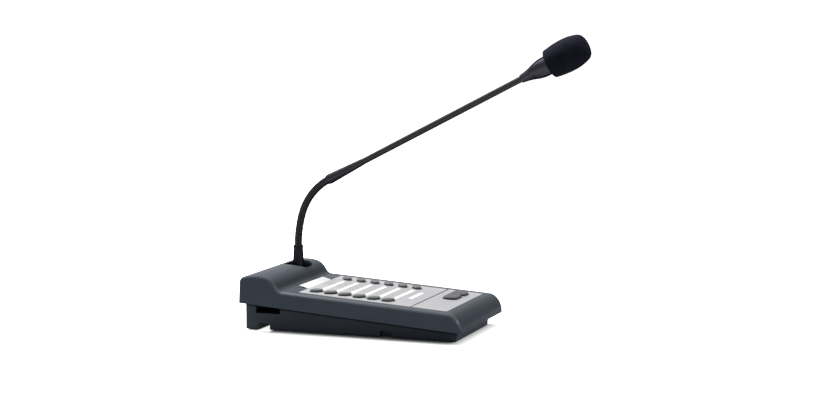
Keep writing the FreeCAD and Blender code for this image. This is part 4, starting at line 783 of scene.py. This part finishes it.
def ring(
    work: bmesh.types.BMesh, centre: Vector, axis: Vector, radius: float, sides: int
) -> list[bmesh.types.BMVert]:
    """Add a ring of points round an axis that has no part across the console.

    Args:
        work: The mesh under construction.
        centre: The ring's centre, in metres.
        axis: The unit direction that it lies square to.
        radius: Its radius in millimetres; 0 gives a single point.
        sides: How many points it has.

    Returns:
        The new points.
    """
    if radius == 0.0:
        return [work.verts.new(centre)]
    side = axis.cross(ACROSS)
    spokes = [
        ACROSS * math.cos(TURN * k / sides) + side * math.sin(TURN * k / sides)
        for k in range(sides)
    ]
    return [work.verts.new(centre + spoke * radius * MM) for spoke in spokes]


def bridge(work: bmesh.types.BMesh, rings: Sequence[Sequence[bmesh.types.BMVert]]) -> None:
    """Join each ring to the next one, by a fan of faces where one is a single point.

    Args:
        work: The mesh under construction.
        rings: The rings in order.
    """
    for low, high in zip(rings[:-1], rings[1:]):
        sides = max(len(low), len(high))
        for k in range(sides):
            after = (k + 1) % sides
            if len(low) == 1:
                work.faces.new((low[0], high[k], high[after]))
            elif len(high) == 1:
                work.faces.new((low[k], high[0], low[after]))
            else:
                work.faces.new((low[k], high[k], high[after], low[after]))


def outward_mesh(work: bmesh.types.BMesh, name: str) -> bpy.types.Mesh:
    """Keep a closed mesh with its faces turned outwards.

    Args:
        work: The mesh under construction, which this ends.
        name: The kept mesh's name.

    Returns:
        The kept mesh.
    """
    bmesh.ops.recalc_face_normals(work, faces=work.faces)
    mesh = bpy.data.meshes.new(name)
    work.to_mesh(mesh)
    work.free()
    return mesh


class Maker(Graph):
    """A Geometry Nodes tree under construction, with named inputs for its sizes."""

    def __init__(self, name: str, finish: Material) -> None:
        """Start an empty tree that ends in a finish.

        Args:
            name: The tree's name.
            finish: The material that its result gets.
        """
        super().__init__(bpy.data.node_groups.new(name, "GeometryNodeTree"))
        self.finish = finish
        self.sockets: dict[str, str] = {}
        self.values: dict[str, object] = {}
        for way in ("OUTPUT", "INPUT"):
            self.tree.interface.new_socket(
                "Geometry", in_out=way, socket_type="NodeSocketGeometry"
            )
        self.entry = self.node("NodeGroupInput")
        self.start = self.entry.outputs["Geometry"]

    def size(self, name: str, value: float, kind: str = "NodeSocketFloat") -> Socket:
        """Add a named input with the value that this part uses.

        Args:
            name: The input's name.
            value: Its value for this part.
            kind: The socket type.

        Returns:
            The socket inside the tree.
        """
        made = self.tree.interface.new_socket(name, in_out="INPUT", socket_type=kind)
        self.sockets[name] = made.identifier
        self.values[name] = value
        return self.entry.outputs[name]

    def vector(self, operation: str, *values: object) -> Socket:
        """One vector step on values or sockets; the second one of SCALE is a share."""
        inputs = dict(zip(VECTOR_SCALE if operation == "SCALE" else range(3), values))
        return self.node("ShaderNodeVectorMath", inputs, operation=operation).outputs["Vector"]

    def round_line(self, along: Socket, turn: Socket, radius: Socket) -> Socket:
        """Places round the line that the tree starts from.

        Args:
            along: Distance along the line.
            turn: Angle round it.
            radius: Distance from it.

        Returns:
            The places.
        """
        sample = self.node(
            "GeometryNodeSampleCurve", {0: self.start, "Length": along}, mode="LENGTH"
        )
        side = self.vector("CROSS_PRODUCT", sample.outputs["Tangent"], ACROSS)
        spoke = self.vector(
            "ADD",
            self.vector("SCALE", ACROSS, self.math("COSINE", turn)),
            self.vector("SCALE", side, self.math("SINE", turn)),
        )
        reach = self.vector("SCALE", spoke, radius)
        return self.vector("ADD", sample.outputs["Position"], reach)

    def skin(self, rows: Socket, columns: Socket, places: Socket) -> Socket:
        """A grid of rows and columns of corners, each put in its place."""
        grid = self.out("GeometryNodeMeshGrid", {"Vertices X": rows, "Vertices Y": columns})
        return self.out("GeometryNodeSetPosition", {0: grid, "Position": places})

    def close(self, geometry: Socket) -> None:
        """End the tree in real geometry with its finish.

        Args:
            geometry: What the tree has made.
        """
        real = self.out("GeometryNodeRealizeInstances", {0: geometry})
        dressed = self.out("GeometryNodeSetMaterial", {0: real, "Material": self.finish})
        self.node("NodeGroupOutput", {0: dressed})

    def run(self, name: str, base: Piece, **values: object) -> Piece:
        """Evaluate the tree and keep the result as a plain mesh piece.

        Args:
            name: The new piece's name.
            base: An object whose geometry the tree starts from; it is used up.
            values: Inputs that differ from this part's usual ones, by name with underscores.

        Returns:
            The new piece, at the origin.
        """
        modifier = base.modifiers.new("maker", "NODES")
        modifier.node_group = self.tree
        chosen = self.values | {key.replace("_", " "): value for key, value in values.items()}
        for key, value in chosen.items():
            modifier[self.sockets[key]] = value
        bpy.context.view_layer.update()
        evaluated = base.evaluated_get(bpy.context.evaluated_depsgraph_get())
        mesh = bpy.data.meshes.new_from_object(evaluated)
        mesh.name = name
        base.modifiers.remove(modifier)
        bpy.data.objects.remove(base)
        for polygon in mesh.polygons:
            polygon.use_smooth = True
        return link_piece(name, mesh)


# Console


@dataclass
class Console:
    """Cover, tray and everything that is fixed in them out of sight."""

    finishes: Finishes
    crease: float = 32.0
    black_sockets: tuple[str, ...] = ("data_sockets", "power_socket", "key_switches")
    zinc_pieces: tuple[str, ...] = ("housing_screws", "board_screws", "ballast_clips", "cup_screws")
    boards: tuple[str, ...] = ("main_board", "link_board")

    def build(self) -> None:
        """Dress the housing and the inner pieces."""
        fair_copy("top_cover", self.finishes["cover_blue_grey"], self.crease)
        fair_copy("base_tray", self.finishes["tray_charcoal"], self.crease)
        dress(["rubber_base_mat"], self.finishes["mat_rubber"])
        dress(self.zinc_pieces, self.finishes["zinc_plate"])
        dress(["ballast_plate"], self.finishes["ballast_steel"])
        dress(self.boards, self.finishes["board_green"])
        dress(self.black_sockets, self.finishes["socket_black"])
        dress(["stacking_header"], self.finishes["header_gold"])
        dress(["lead_plug"], self.finishes["plug_ivory"])
        LOG.info("console: cover, tray and inner pieces")


@dataclass
class ControlPanel:
    """Films, windows, label, lamps and keys on the sloping top."""

    finishes: Finishes
    rows: int = 6

    def zone_keys(self) -> list[str]:
        """Names of the slanted keys, both rows."""
        sides = [side.name.lower() for side in Side]
        return [f"zone_key_{side}_{row + 1}" for side in sides for row in range(self.rows)]

    def build(self) -> None:
        """Dress the films and stand finer copies in for the keys."""
        dress(["zone_film", "speak_film"], self.finishes["silver_film"])
        dress(["label_windows"], self.finishes["clear_window"])
        dress(["label_sheet"], self.finishes["label_paper"])
        dress(["zone_lamps"], self.finishes["light_pipe"])
        for key in self.zone_keys():
            fair_copy(key, self.finishes["key_grey"])
        for key in ("talk_key", "select_key"):
            fair_copy(key, self.finishes["speak_key_grey"])
        LOG.info("panel: films, windows, label, lamps and %d keys", 2 * self.rows + 2)


# Neck


@dataclass
class NeckPath:
    """Centre line of the neck: upright, then two bends towards the user, then straight."""

    x: float = 33.0
    y: float = 88.7
    bend_z: float = 75.2
    lower_radius: float = 120.0
    lower_turn: float = 15.8
    upper_radius: float = 59.8
    upper_turn: float = 46.7

    @property
    def lower_length(self) -> float:
        """Length of the lower bend."""
        return self.lower_radius * math.radians(self.lower_turn)

    @property
    def length(self) -> float:
        """Length of both bends."""
        return self.lower_length + self.upper_radius * math.radians(self.upper_turn)

    def at(self, along: float) -> tuple[Vector, Vector]:
        """Point and direction of the centre line, in metres.

        Args:
            along: Distance from the first bend in millimetres; negative is below it.

        Returns:
            The point and the unit direction.
        """
        if along <= 0:
            return Vector((self.x, self.y, self.bend_z + along)) * MM, Vector((0, 0, 1))
        bend = min(along, self.lower_length)
        lean = bend / self.lower_radius
        y = self.y - self.lower_radius * (1 - math.cos(lean))
        z = self.bend_z + self.lower_radius * math.sin(lean)
        if along > self.lower_length:
            bend = min(along, self.length) - self.lower_length
            end = lean + bend / self.upper_radius
            y -= self.upper_radius * (math.cos(lean) - math.cos(end))
            z += self.upper_radius * (math.sin(end) - math.sin(lean))
            lean = end
        past = max(0.0, along - self.length)
        direction = Vector((0, -math.sin(lean), math.cos(lean)))
        return Vector((self.x, y, z)) * MM + direction * past * MM, direction

    def line(self, name: str, start: float, end: float, step: float) -> Piece:
        """A stretch of the centre line as a curve for a tree to follow.

        Args:
            name: The curve's name.
            start: Where it begins along the neck, in millimetres.
            end: Where it ends.
            step: Distance between its points.

        Returns:
            The curve's object.
        """
        count = max(2, round((end - start) / step) + 1)
        curve = bpy.data.curves.new(name, "CURVE")
        curve.dimensions = "3D"
        spline = curve.splines.new("POLY")
        spline.points.add(count - 1)
        for index, point in enumerate(spline.points):
            place, _ = self.at(start + (end - start) * index / (count - 1))
            point.co = (*place, 1.0)
        return link_piece(name, curve)


@dataclass(frozen=True)
class Stretch:
    """A length of the neck: its number, the bodies at its ends, its start and its end."""

    number: int
    low: str
    high: str
    start: float
    end: float


@dataclass
class WoundNeck:
    """The flexible neck: a ribbed sleeve that is continuous over nine hinges, and its lead."""

    finishes: Finishes
    path: NeckPath
    links: int = 8
    first_hinge: float = 3.4
    hinge_pitch: float = 9.2
    bend_reach: float = 4.6
    end_reach: float = 2.9
    start: float = -25.2
    end: float = 89.03
    line_step: float = 0.25
    crest_radius: float = 4.0
    valley_radius: float = 3.6
    bore_radius: float = 1.75
    rib_pitch: float = 1.7
    rib_fullness: float = 1.8
    steps_per_rib: int = 8
    fewest_rings: int = 4
    sides: int = 40
    merge: float = 0.002
    lead_radius: float = 1.3
    lead_sides: int = 16
    lead_step: float = 1.0
    lead_plug_y: float = 52.6
    lead_plug_z: float = 22.85
    lead_bend: float = 8.0
    lead_bend_steps: int = 8
    lead_end: float = 341.5

    def bodies(self) -> list[str]:
        """Bodies along the chain, from the console to the arm."""
        return ["console", *(f"neck_link_{n + 1}" for n in range(self.links)), "microphone_arm"]

    def hinge(self, index: int) -> float:
        """Distance of a hinge along the neck."""
        return self.first_hinge + self.hinge_pitch * index

    def stretches(self) -> list[Stretch]:
        """The sleeve, cut halfway between its hinges.

        Returns:
            Every stretch, from the console to the arm.
        """
        chain = self.bodies()
        hinges = [self.hinge(index) for index in range(self.links + 1)]
        middles = [(low + high) / 2 for low, high in zip(hinges[:-1], hinges[1:])]
        cuts = [hinges[0] - self.end_reach, *middles, hinges[-1] + self.end_reach]
        bodies = zip([chain[0], *chain], [*chain, chain[-1]])
        ends = zip([self.start, *cuts], [*cuts, self.end])
        return [Stretch(n, *pair, *span) for n, (pair, span) in enumerate(zip(bodies, ends))]

    def sleeve_tree(self) -> Maker:
        """Tree that winds a ribbed sleeve with a bore round a curve.

        Returns:
            The tree.
        """
        maker = Maker("wound_sleeve", self.finishes["wound_hose"])
        calc = maker.math
        crest = maker.size("Crest Radius", self.crest_radius * MM)
        valley = maker.size("Valley Radius", self.valley_radius * MM)
        bore = maker.size("Bore Radius", self.bore_radius * MM)
        pitch = maker.size("Rib Pitch", self.rib_pitch * MM)
        offset = maker.size("Start Along", self.start * MM)
        rings = maker.size("Rings", self.fewest_rings, "NodeSocketInt")
        sides = maker.size("Sides", self.sides, "NodeSocketInt")

        # Row and column of each corner; the small sum keeps the division from rounding down
        index = calc("ADD", maker.out("GeometryNodeInputIndex"), 0.01)
        columns = calc("ADD", sides, 1.0)
        row = calc("FLOOR", calc("DIVIDE", index, columns))
        column = calc("ROUND", calc("SUBTRACT", index, calc("MULTIPLY", row, columns)))
        share = calc("DIVIDE", column, sides)
        turn = calc("MULTIPLY", share, TURN)
        length = maker.out("GeometryNodeCurveLength", {0: maker.start})

        # The first and the last row close the sleeve's ends down to the bore
        place = calc("MINIMUM", calc("MAXIMUM", calc("SUBTRACT", row, 1.0), 0.0), rings)
        reach = calc("MULTIPLY", calc("DIVIDE", place, rings), length)
        wound = calc("ADD", calc("ADD", reach, offset), calc("MULTIPLY", share, pitch))
        wave = calc("COSINE", calc("MULTIPLY", calc("DIVIDE", wound, pitch), TURN))
        low = calc("SUBTRACT", 1.0, calc("MULTIPLY_ADD", wave, 0.5, 0.5))
        height = calc("SUBTRACT", 1.0, calc("POWER", low, self.rib_fullness))
        ribbed = calc("MULTIPLY_ADD", height, calc("SUBTRACT", crest, valley), valley)
        first = calc("LESS_THAN", row, 0.5)
        last = calc("GREATER_THAN", row, calc("ADD", rings, 1.5))
        at_end = calc("MAXIMUM", first, last)
        outer = calc("MULTIPLY", ribbed, calc("SUBTRACT", 1.0, at_end))
        radius = calc("MULTIPLY_ADD", bore, at_end, outer)
        places = maker.round_line(reach, turn, radius)
        sleeve = maker.skin(calc("ADD", rings, 3.0), columns, places)
        stored = {0: sleeve, "Name": "rib_height", "Value": height}
        stored = maker.out("GeometryNodeStoreNamedAttribute", stored, data_type="FLOAT")

        inside = calc("MULTIPLY", calc("DIVIDE", row, rings), length)
        places = maker.round_line(inside, turn, bore)
        lining = maker.skin(calc("ADD", rings, 1.0), columns, places)
        turned = maker.out("GeometryNodeFlipFaces", {0: lining})
        joined = maker.node("GeometryNodeJoinGeometry", {0: turned})
        maker.fill(joined.inputs[0], stored)
        merged = {0: joined.outputs[0], "Distance": self.merge * MM}
        maker.close(maker.out("GeometryNodeMergeByDistance", merged))
        return maker

    def build(self) -> None:
        """Wind the sleeve stretch by stretch and run the lead through it."""
        maker = self.sleeve_tree()
        step = self.rib_pitch / self.steps_per_rib
        nodes = {"console": "neck_root", "microphone_arm": "neck_tip"}
        for part in self.stretches():
            line = self.path.line(
                f"sleeve_line_{part.number}", part.start, part.end, self.line_step
            )
            sleeve = maker.run(
                f"neck_sleeve_{part.number}",
                line,
                Start_Along=part.start * MM,
                Rings=max(self.fewest_rings, round((part.end - part.start) / step)),
            )
            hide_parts(*{nodes.get(body, body) for body in (part.low, part.high)})
            self.attach(sleeve, part)
            self.lead_stretch(part)
        self.lead_in_console()
        LOG.info("neck: %d stretches of sleeve with their lead", len(self.stretches()))

    def attach(self, piece: Piece, part: Stretch) -> None:
        """Make a piece move with its body when both its ends are on one body; otherwise only bake
        its place into its mesh.

        Args:
            piece: The piece.
            part: Where it sits along the neck.
        """
        if part.low == part.high:
            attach(piece, part.low)
            return
        hinge = self.hinge(part.number - 1)
        below = self.end_reach if part.number == 1 else self.bend_reach
        above = self.end_reach if part.number == self.links + 1 else self.bend_reach
        low, high = self.path.at(hinge - below)[0], self.path.at(hinge + above)[0]
        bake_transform(piece)

    def lead_stretch(self, part: Stretch) -> None:
        """The lead inside one stretch of sleeve, and past it at both ends.

        Args:
            part: The stretch of sleeve.
        """
        plug = -self.path.bend_z + self.lead_plug_z + self.lead_bend
        first = part.start if part.number else plug
        last = self.lead_end if part.number == self.links + 2 else part.end
        count = max(2, round((last - first) / self.lead_step))
        points = [self.path.at(first + (last - first) * k / count) for k in range(count + 1)]
        self.attach(self.lead(f"lead_{part.number}", points), part)

    def lead_in_console(self) -> None:
        """The lead from its plug round a bend to the neck's upright line."""
        x, y, z, bend = self.path.x, self.path.y, self.lead_plug_z, self.lead_bend
        points = [(Vector((x, self.lead_plug_y, z)) * MM, Vector((0, 1, 0)))]
        for step in range(self.lead_bend_steps + 1):
            turn = math.pi / 2 * step / self.lead_bend_steps
            rise = z + bend - bend * math.cos(turn)
            place = Vector((x, y - bend + bend * math.sin(turn), rise))
            points.append((place * MM, Vector((0, math.cos(turn), math.sin(turn)))))
        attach(self.lead("lead_from_plug", points), "console")

    def lead(self, name: str, points: Sequence[tuple[Vector, Vector]]) -> Piece:
        """A closed round length of the lead.

        Args:
            name: The piece's name.
            points: Places and unit directions along it.

        Returns:
            The new piece.
        """
        work = bmesh.new()
        sizes = (self.lead_radius, self.lead_sides)
        rings = [ring(work, place, direction, *sizes) for place, direction in points]
        bridge(work, rings)
        work.faces.new(rings[0])
        work.faces.new(reversed(rings[-1]))
        mesh = outward_mesh(work, name)
        mesh.materials.append(self.finishes["lead_sheath"])
        for polygon in mesh.polygons:
            polygon.use_smooth = len(polygon.vertices) == 4
        piece = link_piece(name, mesh)
        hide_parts("mic_lead")
        return piece


@dataclass
class NeckMount:
    """Cup, stem, nut and boot that hold the neck in the crest of the cover."""

    finishes: Finishes

    def build(self) -> None:
        """Dress the mount."""
        dress(["neck_cup"], self.finishes["cup_black"])
        dress(["neck_stem", "stem_nut"], self.finishes["turned_brass"])
        dress(["stem_washer"], self.finishes["zinc_plate"])
        fair_copy("neck_boot", self.finishes["boot_satin"])
        LOG.info("neck mount: cup, stem, nut and boot")


# Arm and head


@dataclass
class FoamBall:
    """Outline of the foam windscreen, as radii and distances along the head's axis."""

    start: float = 32.6
    length: float = 43.0
    back_radius: float = 14.6
    radius: float = 16.6
    widest: float = 20.2
    back_round: float = 0.5
    side_radius: float = 50.0
    knuckle_radius: float = 8.0
    crown_radius: float = 30.0
    cavity_depth: float = 17.0
    cavity_radius: float = 10.1
    cavity_crown: float = 14.0

    def outline(self, step: float) -> list[Range]:
        """The outside, from its back to its tip.

        Args:
            step: Distance between its points.

        Returns:
            Radius and distance of each point.
        """
        tip = self.start + self.length
        wide = self.start + self.widest
        side_centre = Vector((self.radius - self.side_radius, wide))
        crown_centre = Vector((0.0, tip - self.crown_radius))
        knuckle = self.knuckle(side_centre, crown_centre)
        rise, run = self.radius - self.back_radius, self.widest - self.back_round
        rear_radius = (rise**2 + run**2) / (2 * rise)
        rear_centre = Vector((self.radius - rear_radius, wide))
        corners = [
            Vector((self.back_radius, self.start + self.back_round)),
            Vector((self.radius, wide)),
            side_centre + (knuckle - side_centre).normalized() * self.side_radius,
            crown_centre + (knuckle - crown_centre).normalized() * self.crown_radius,
            Vector((0.0, tip)),
        ]
        arcs = [
            (rear_centre, rear_radius),
            (side_centre, self.side_radius),
            (knuckle, self.knuckle_radius),
            (crown_centre, self.crown_radius),
        ]
        points = [(self.back_radius - self.back_round, self.start)]
        for (centre, radius), begin, end in zip(arcs, corners[:-1], corners[1:]):
            first = math.atan2(begin.y - centre.y, begin.x - centre.x)
            last = math.atan2(end.y - centre.y, end.x - centre.x)
            count = max(2, round(abs(last - first) * radius / step))
            turns = [first + (last - first) * k / count for k in range(count)]
            points += [
                (centre.x + radius * math.cos(turn), centre.y + radius * math.sin(turn))
                for turn in turns
            ]
        points.append((0.0, tip))
        return points

    def knuckle(self, side_centre: Vector, crown_centre: Vector) -> Vector:
        """Centre of the round between the side and the crown.

        Args:
            side_centre: Centre of the side's arc.
            crown_centre: Centre of the crown's arc.

        Returns:
            The round's centre.
        """
        side_reach = self.side_radius - self.knuckle_radius
        crown_reach = self.crown_radius - self.knuckle_radius
        across = crown_centre - side_centre
        near = (side_reach**2 - crown_reach**2 + across.length_squared) / (2 * across.length)
        off = math.sqrt(side_reach**2 - near**2)
        forward = across.normalized()
        sideways = Vector((forward.y, -forward.x))
        options = [side_centre + forward * near + sideways * side * off for side in (-1, 1)]
        return max(options, key=lambda point: point.x)

    def cavity(self, step: float) -> list[Range]:
        """The hollow for the head, from its mouth to its end.

        Args:
            step: Distance between its points.

        Returns:
            Radius and distance of each point.
        """
        end = self.start + self.cavity_depth
        centre = end - self.cavity_crown
        depth = centre + math.sqrt(self.cavity_crown**2 - self.cavity_radius**2) - self.start
        count = max(2, round(depth / step))
        points = [(self.cavity_radius, self.start + depth * k / count) for k in range(count)]
        first = math.asin(self.cavity_radius / self.cavity_crown)
        count = max(3, round(first * self.cavity_crown / step))
        turns = [first * (1 - k / count) for k in range(count)]
        crown = self.cavity_crown
        points += [(crown * math.sin(turn), centre + crown * math.cos(turn)) for turn in turns]
        points.append((0.0, end))
        return points


@dataclass
class MicrophoneHead:
    """Collar, arm tube, bell, capsule and foam at the end of the neck."""

    finishes: Finishes
    path: NeckPath
    head_start: float = 230.7
    foam: FoamBall = field(default_factory=FoamBall)
    foam_step: float = 0.3
    foam_sides: int = 300
    cavity_step: float = 1.0
    mouth_rows: int = 10
    cell: float = 1.0
    cell_depth: float = 0.26
    cell_reach: float = 1.25
    drift_scale: float = 0.16
    drift_layers: float = 2.0
    drift_level: float = 0.6
    drift_depth: float = 1.2
    seed: float = 4.0
    back_skin: float = 0.35
    back_rows: int = 4

    def build(self) -> None:
        """Dress the arm and make the foam."""
        fair_copy("neck_collar", self.finishes["arm_black"])
        fair_copy("arm_tube", self.finishes["arm_black"])
        fair_copy("capsule_housing", self.finishes["bell_black"])
        dress(["capsule"], self.finishes["capsule_nickel"])
        dress(["capsule_ring"], self.finishes["ring_rubber"])
        dress(["head_grille"], self.finishes["grille_black"])
        self.foam_piece()
        LOG.info("head: collar, tube, bell, capsule and foam")

    def foam_tree(self) -> Maker:
        """Tree that sinks open cells into a smooth foam surface.

        Returns:
            The tree.
        """
        maker = Maker("foam_cells", self.finishes["open_foam"])
        calc = maker.math
        cell = maker.size("Cell Size", self.cell * MM)
        depth = maker.size("Cell Depth", self.cell_depth * MM)
        seed = maker.size("Seed", self.seed)
        scale = calc("DIVIDE", 1.0, cell)
        read = {"Vector": maker.out("GeometryNodeInputPosition"), "W": seed}
        fine, coarse = {"Scale": scale}, {"Detail": self.drift_layers}
        coarse["Scale"] = calc("MULTIPLY", scale, self.drift_scale)
        cells = maker.out("ShaderNodeTexVoronoi", read | fine, voronoi_dimensions="4D")
        drift = maker.out("ShaderNodeTexNoise", read | coarse, noise_dimensions="4D")
        pit = calc("MULTIPLY", cells, self.cell_reach)
        pit = calc("MINIMUM", calc("SUBTRACT", pit, 1.0), 0.0)
        swell = calc("SUBTRACT", drift, self.drift_level)
        swell = calc("MINIMUM", calc("MULTIPLY", swell, self.drift_depth), 0.0)
        total = calc("MULTIPLY", calc("ADD", pit, swell), depth)
        normal = maker.out("GeometryNodeInputNormal")
        skin = maker.node("GeometryNodeInputNamedAttribute", {"Name": "skin"}, data_type="FLOAT")
        offset = maker.vector("SCALE", normal, total)
        offset = maker.vector("SCALE", offset, skin.outputs["Attribute"])
        maker.close(maker.out("GeometryNodeSetPosition", {0: maker.start, "Offset": offset}))
        return maker

    def foam_piece(self) -> None:
        """Turn the foam's outline, sink its cells and mount it on the head."""
        outside = self.foam.outline(self.foam_step)
        inside = self.foam.cavity(self.cavity_step)
        inner, width = inside[0][0], outside[0][0] - inside[0][0]
        mouth = [
            (inner + width * k / self.mouth_rows, self.foam.start)
            for k in range(1, self.mouth_rows)
        ]
        rows = [*reversed(inside), *mouth, *outside]
        crisp = [self.back_skin] * (len(mouth) + self.back_rows)
        skin = [0.0] * len(inside) + crisp + [1.0] * (len(outside) - self.back_rows)
        origin, axis = self.path.at(self.path.length + self.head_start)
        work = bmesh.new()
        layer = work.verts.layers.float.new("skin")
        rings = []
        for (radius, along), weight in zip(rows, skin):
            rings.append(ring(work, origin + axis * along * MM, axis, radius, self.foam_sides))
            for vert in rings[-1]:
                vert[layer] = weight
        bridge(work, rings)
        smooth = link_piece("foam_skin", outward_mesh(work, "foam_skin"))
        ball = self.foam_tree().run("foam_ball", smooth)
        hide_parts("foam_windscreen")
        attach(ball, "microphone_arm")


# Studio


@dataclass(frozen=True)
class Softbox:
    """A square soft lamp that looks at a point."""

    name: str
    place: Place
    target: Place
    size: float
    power: float

    def hang(self) -> None:
        """Put the lamp in the scene."""
        data = bpy.data.lights.new(self.name, "AREA")
        data.shape = "SQUARE"
        data.size = self.size
        data.energy = self.power
        aim(link_piece(self.name, data), self.place, self.target)


@dataclass
class Studio:
    """Plain floor, soft light and the camera at the photograph's place."""

    camera_place: Place = (-1.8789, -0.7270, 0.3629)
    camera_target: Place = (0.0, -0.05427, 0.12236)
    lens: float = 87.37
    sensor: float = 36.0
    far_clip: float = 200.0
    floor_reach: float = 40.0
    floor_colour: Colour = (0.78, 0.78, 0.78)
    floor_lift: float = 0.9
    lift_reach: float = 0.018
    footprint: Range = (0.053, 0.106)
    # Patch of floor inside the cable bay that glows as painted light, seen through the notches
    notch_light_pool: tuple[Range, Range] = ((0.034, 0.0905), (0.02, 0.0055))
    notch_fade: float = 0.003
    sky_strength: float = 0.46
    lamps: tuple[Softbox, ...] = (
        Softbox("overhead_softbox", (0.3, 0.95, 1.25), (0.0, 0.0, 0.1), 0.75, 44.0),
        Softbox("side_softbox", (-0.75, 0.75, 1.6), (0.0, 0.0, 0.1), 0.35, 7.0),
        Softbox("front_glint", (-0.33, -1.35, 0.87), (0.0, -0.1, 0.02), 0.35, 7.0),
    )

    def build(self) -> None:
        """Set up camera, floor, backdrop light and lamps."""
        self.camera()
        self.floor()
        self.sky()
        for lamp in self.lamps:
            lamp.hang()
        LOG.info("studio: camera, floor and lamps")

    def camera(self) -> None:
        """Set up the photograph's camera."""
        data = bpy.data.cameras.new("camera")
        data.lens = self.lens
        data.sensor_width = self.sensor
        data.clip_end = self.far_clip
        bpy.context.scene.camera = link_piece("camera", data)
        aim(bpy.context.scene.camera, self.camera_place, self.camera_target)

    def seen_plainly(self, graph: Graph) -> Socket:
        """Tell what is seen from what only lights the part.

        Args:
            graph: The tree that asks.

        Returns:
            A factor of 1 for rays from the camera, a gloss or a clear piece.
        """
        rays = graph.node("ShaderNodeLightPath").outputs
        sharp = graph.math("MAXIMUM", rays["Is Glossy Ray"], rays["Is Transmission Ray"])
        return graph.math("MAXIMUM", rays["Is Camera Ray"], sharp)

    def floor(self) -> None:
        """Lay a pale floor that keeps the shadow and runs into the white background, with a pool of
        painted light on the floor inside the cable bay.
        """
        mesh = bpy.data.meshes.new("studio_floor")
        reach = self.floor_reach
        corners = [(-reach, -reach, 0), (reach, -reach, 0), (reach, reach, 0), (-reach, reach, 0)]
        mesh.from_pydata(corners, [], [(0, 1, 2, 3)])
        floor = link_piece("studio_floor", mesh)
        recipe = Recipe("studio_floor")
        recipe.tree.nodes.remove(recipe.shader)
        shadowed = self.beyond(recipe, (0.0, 0.0), self.footprint)
        lift = recipe.spread(shadowed, 0.0, self.floor_lift, 0.0, self.lift_reach)
        # Painted pool of light under the bay, fading out past its edge
        notch = self.beyond(recipe, *self.notch_light_pool)
        notch = recipe.spread(notch, self.floor_lift, 0.0, 0.0, self.notch_fade)
        lift = recipe.math("MAXIMUM", lift, notch)
        glow = {"Strength": recipe.math("MULTIPLY", self.seen_plainly(recipe), lift)}
        glow = recipe.out("ShaderNodeEmission", glow)
        matt = recipe.out("ShaderNodeBsdfDiffuse", {"Color": self.floor_colour})
        both = recipe.out("ShaderNodeAddShader", {0: matt, 1: glow})
        recipe.fill(recipe.tree.nodes["Material Output"].inputs["Surface"], both)
        mesh.materials.append(recipe.material)

    def beyond(self, recipe: Recipe, centre: Range, half: Range) -> Socket:
        """Distance in metres from a patch of floor, mirrored from side to side.

        Args:
            recipe: The floor's recipe.
            centre: The patch's middle.
            half: Half its width and half its length.

        Returns:
            The distance, 0 on the patch.
        """
        across = recipe.math("ABSOLUTE", recipe.part_of(recipe.position, "X"))
        squares = []
        for value, middle, reach in zip(
            (across, recipe.part_of(recipe.position, "Y")), centre, half
        ):
            off = recipe.math("ABSOLUTE", recipe.math("SUBTRACT", value, middle))
            past = recipe.math("MAXIMUM", recipe.math("SUBTRACT", off, reach), 0.0)
            squares.append(recipe.math("POWER", past, 2.0))
        return recipe.math("POWER", recipe.math("ADD", *squares), 0.5)

    def sky(self) -> None:
        """White background where it is seen, softer where it only lights."""
        world = bpy.data.worlds.new("studio_sky")
        bpy.context.scene.world = world
        world.use_nodes = True
        graph = Graph(world.node_tree)
        shader = graph.tree.nodes["Background"]
        graph.fill(shader.inputs["Color"], WHITE)
        strength = {"Value": self.seen_plainly(graph), "To Min": self.sky_strength}
        strength = graph.node("ShaderNodeMapRange", strength).outputs["Result"]
        graph.fill(shader.inputs["Strength"], strength)


def main() -> None:
    """Build every sub-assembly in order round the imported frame."""
    logging.basicConfig(level=logging.INFO, format="%(name)s: %(message)s")
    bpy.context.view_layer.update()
    Studio().build()
    finishes = Finishes()
    path = NeckPath()
    Console(finishes).build()
    ControlPanel(finishes).build()
    NeckMount(finishes).build()
    WoundNeck(finishes, path).build()
    MicrophoneHead(finishes, path).build()
    bpy.context.scene.view_settings.view_transform = "Standard"


if __name__ == "__main__":
    main()
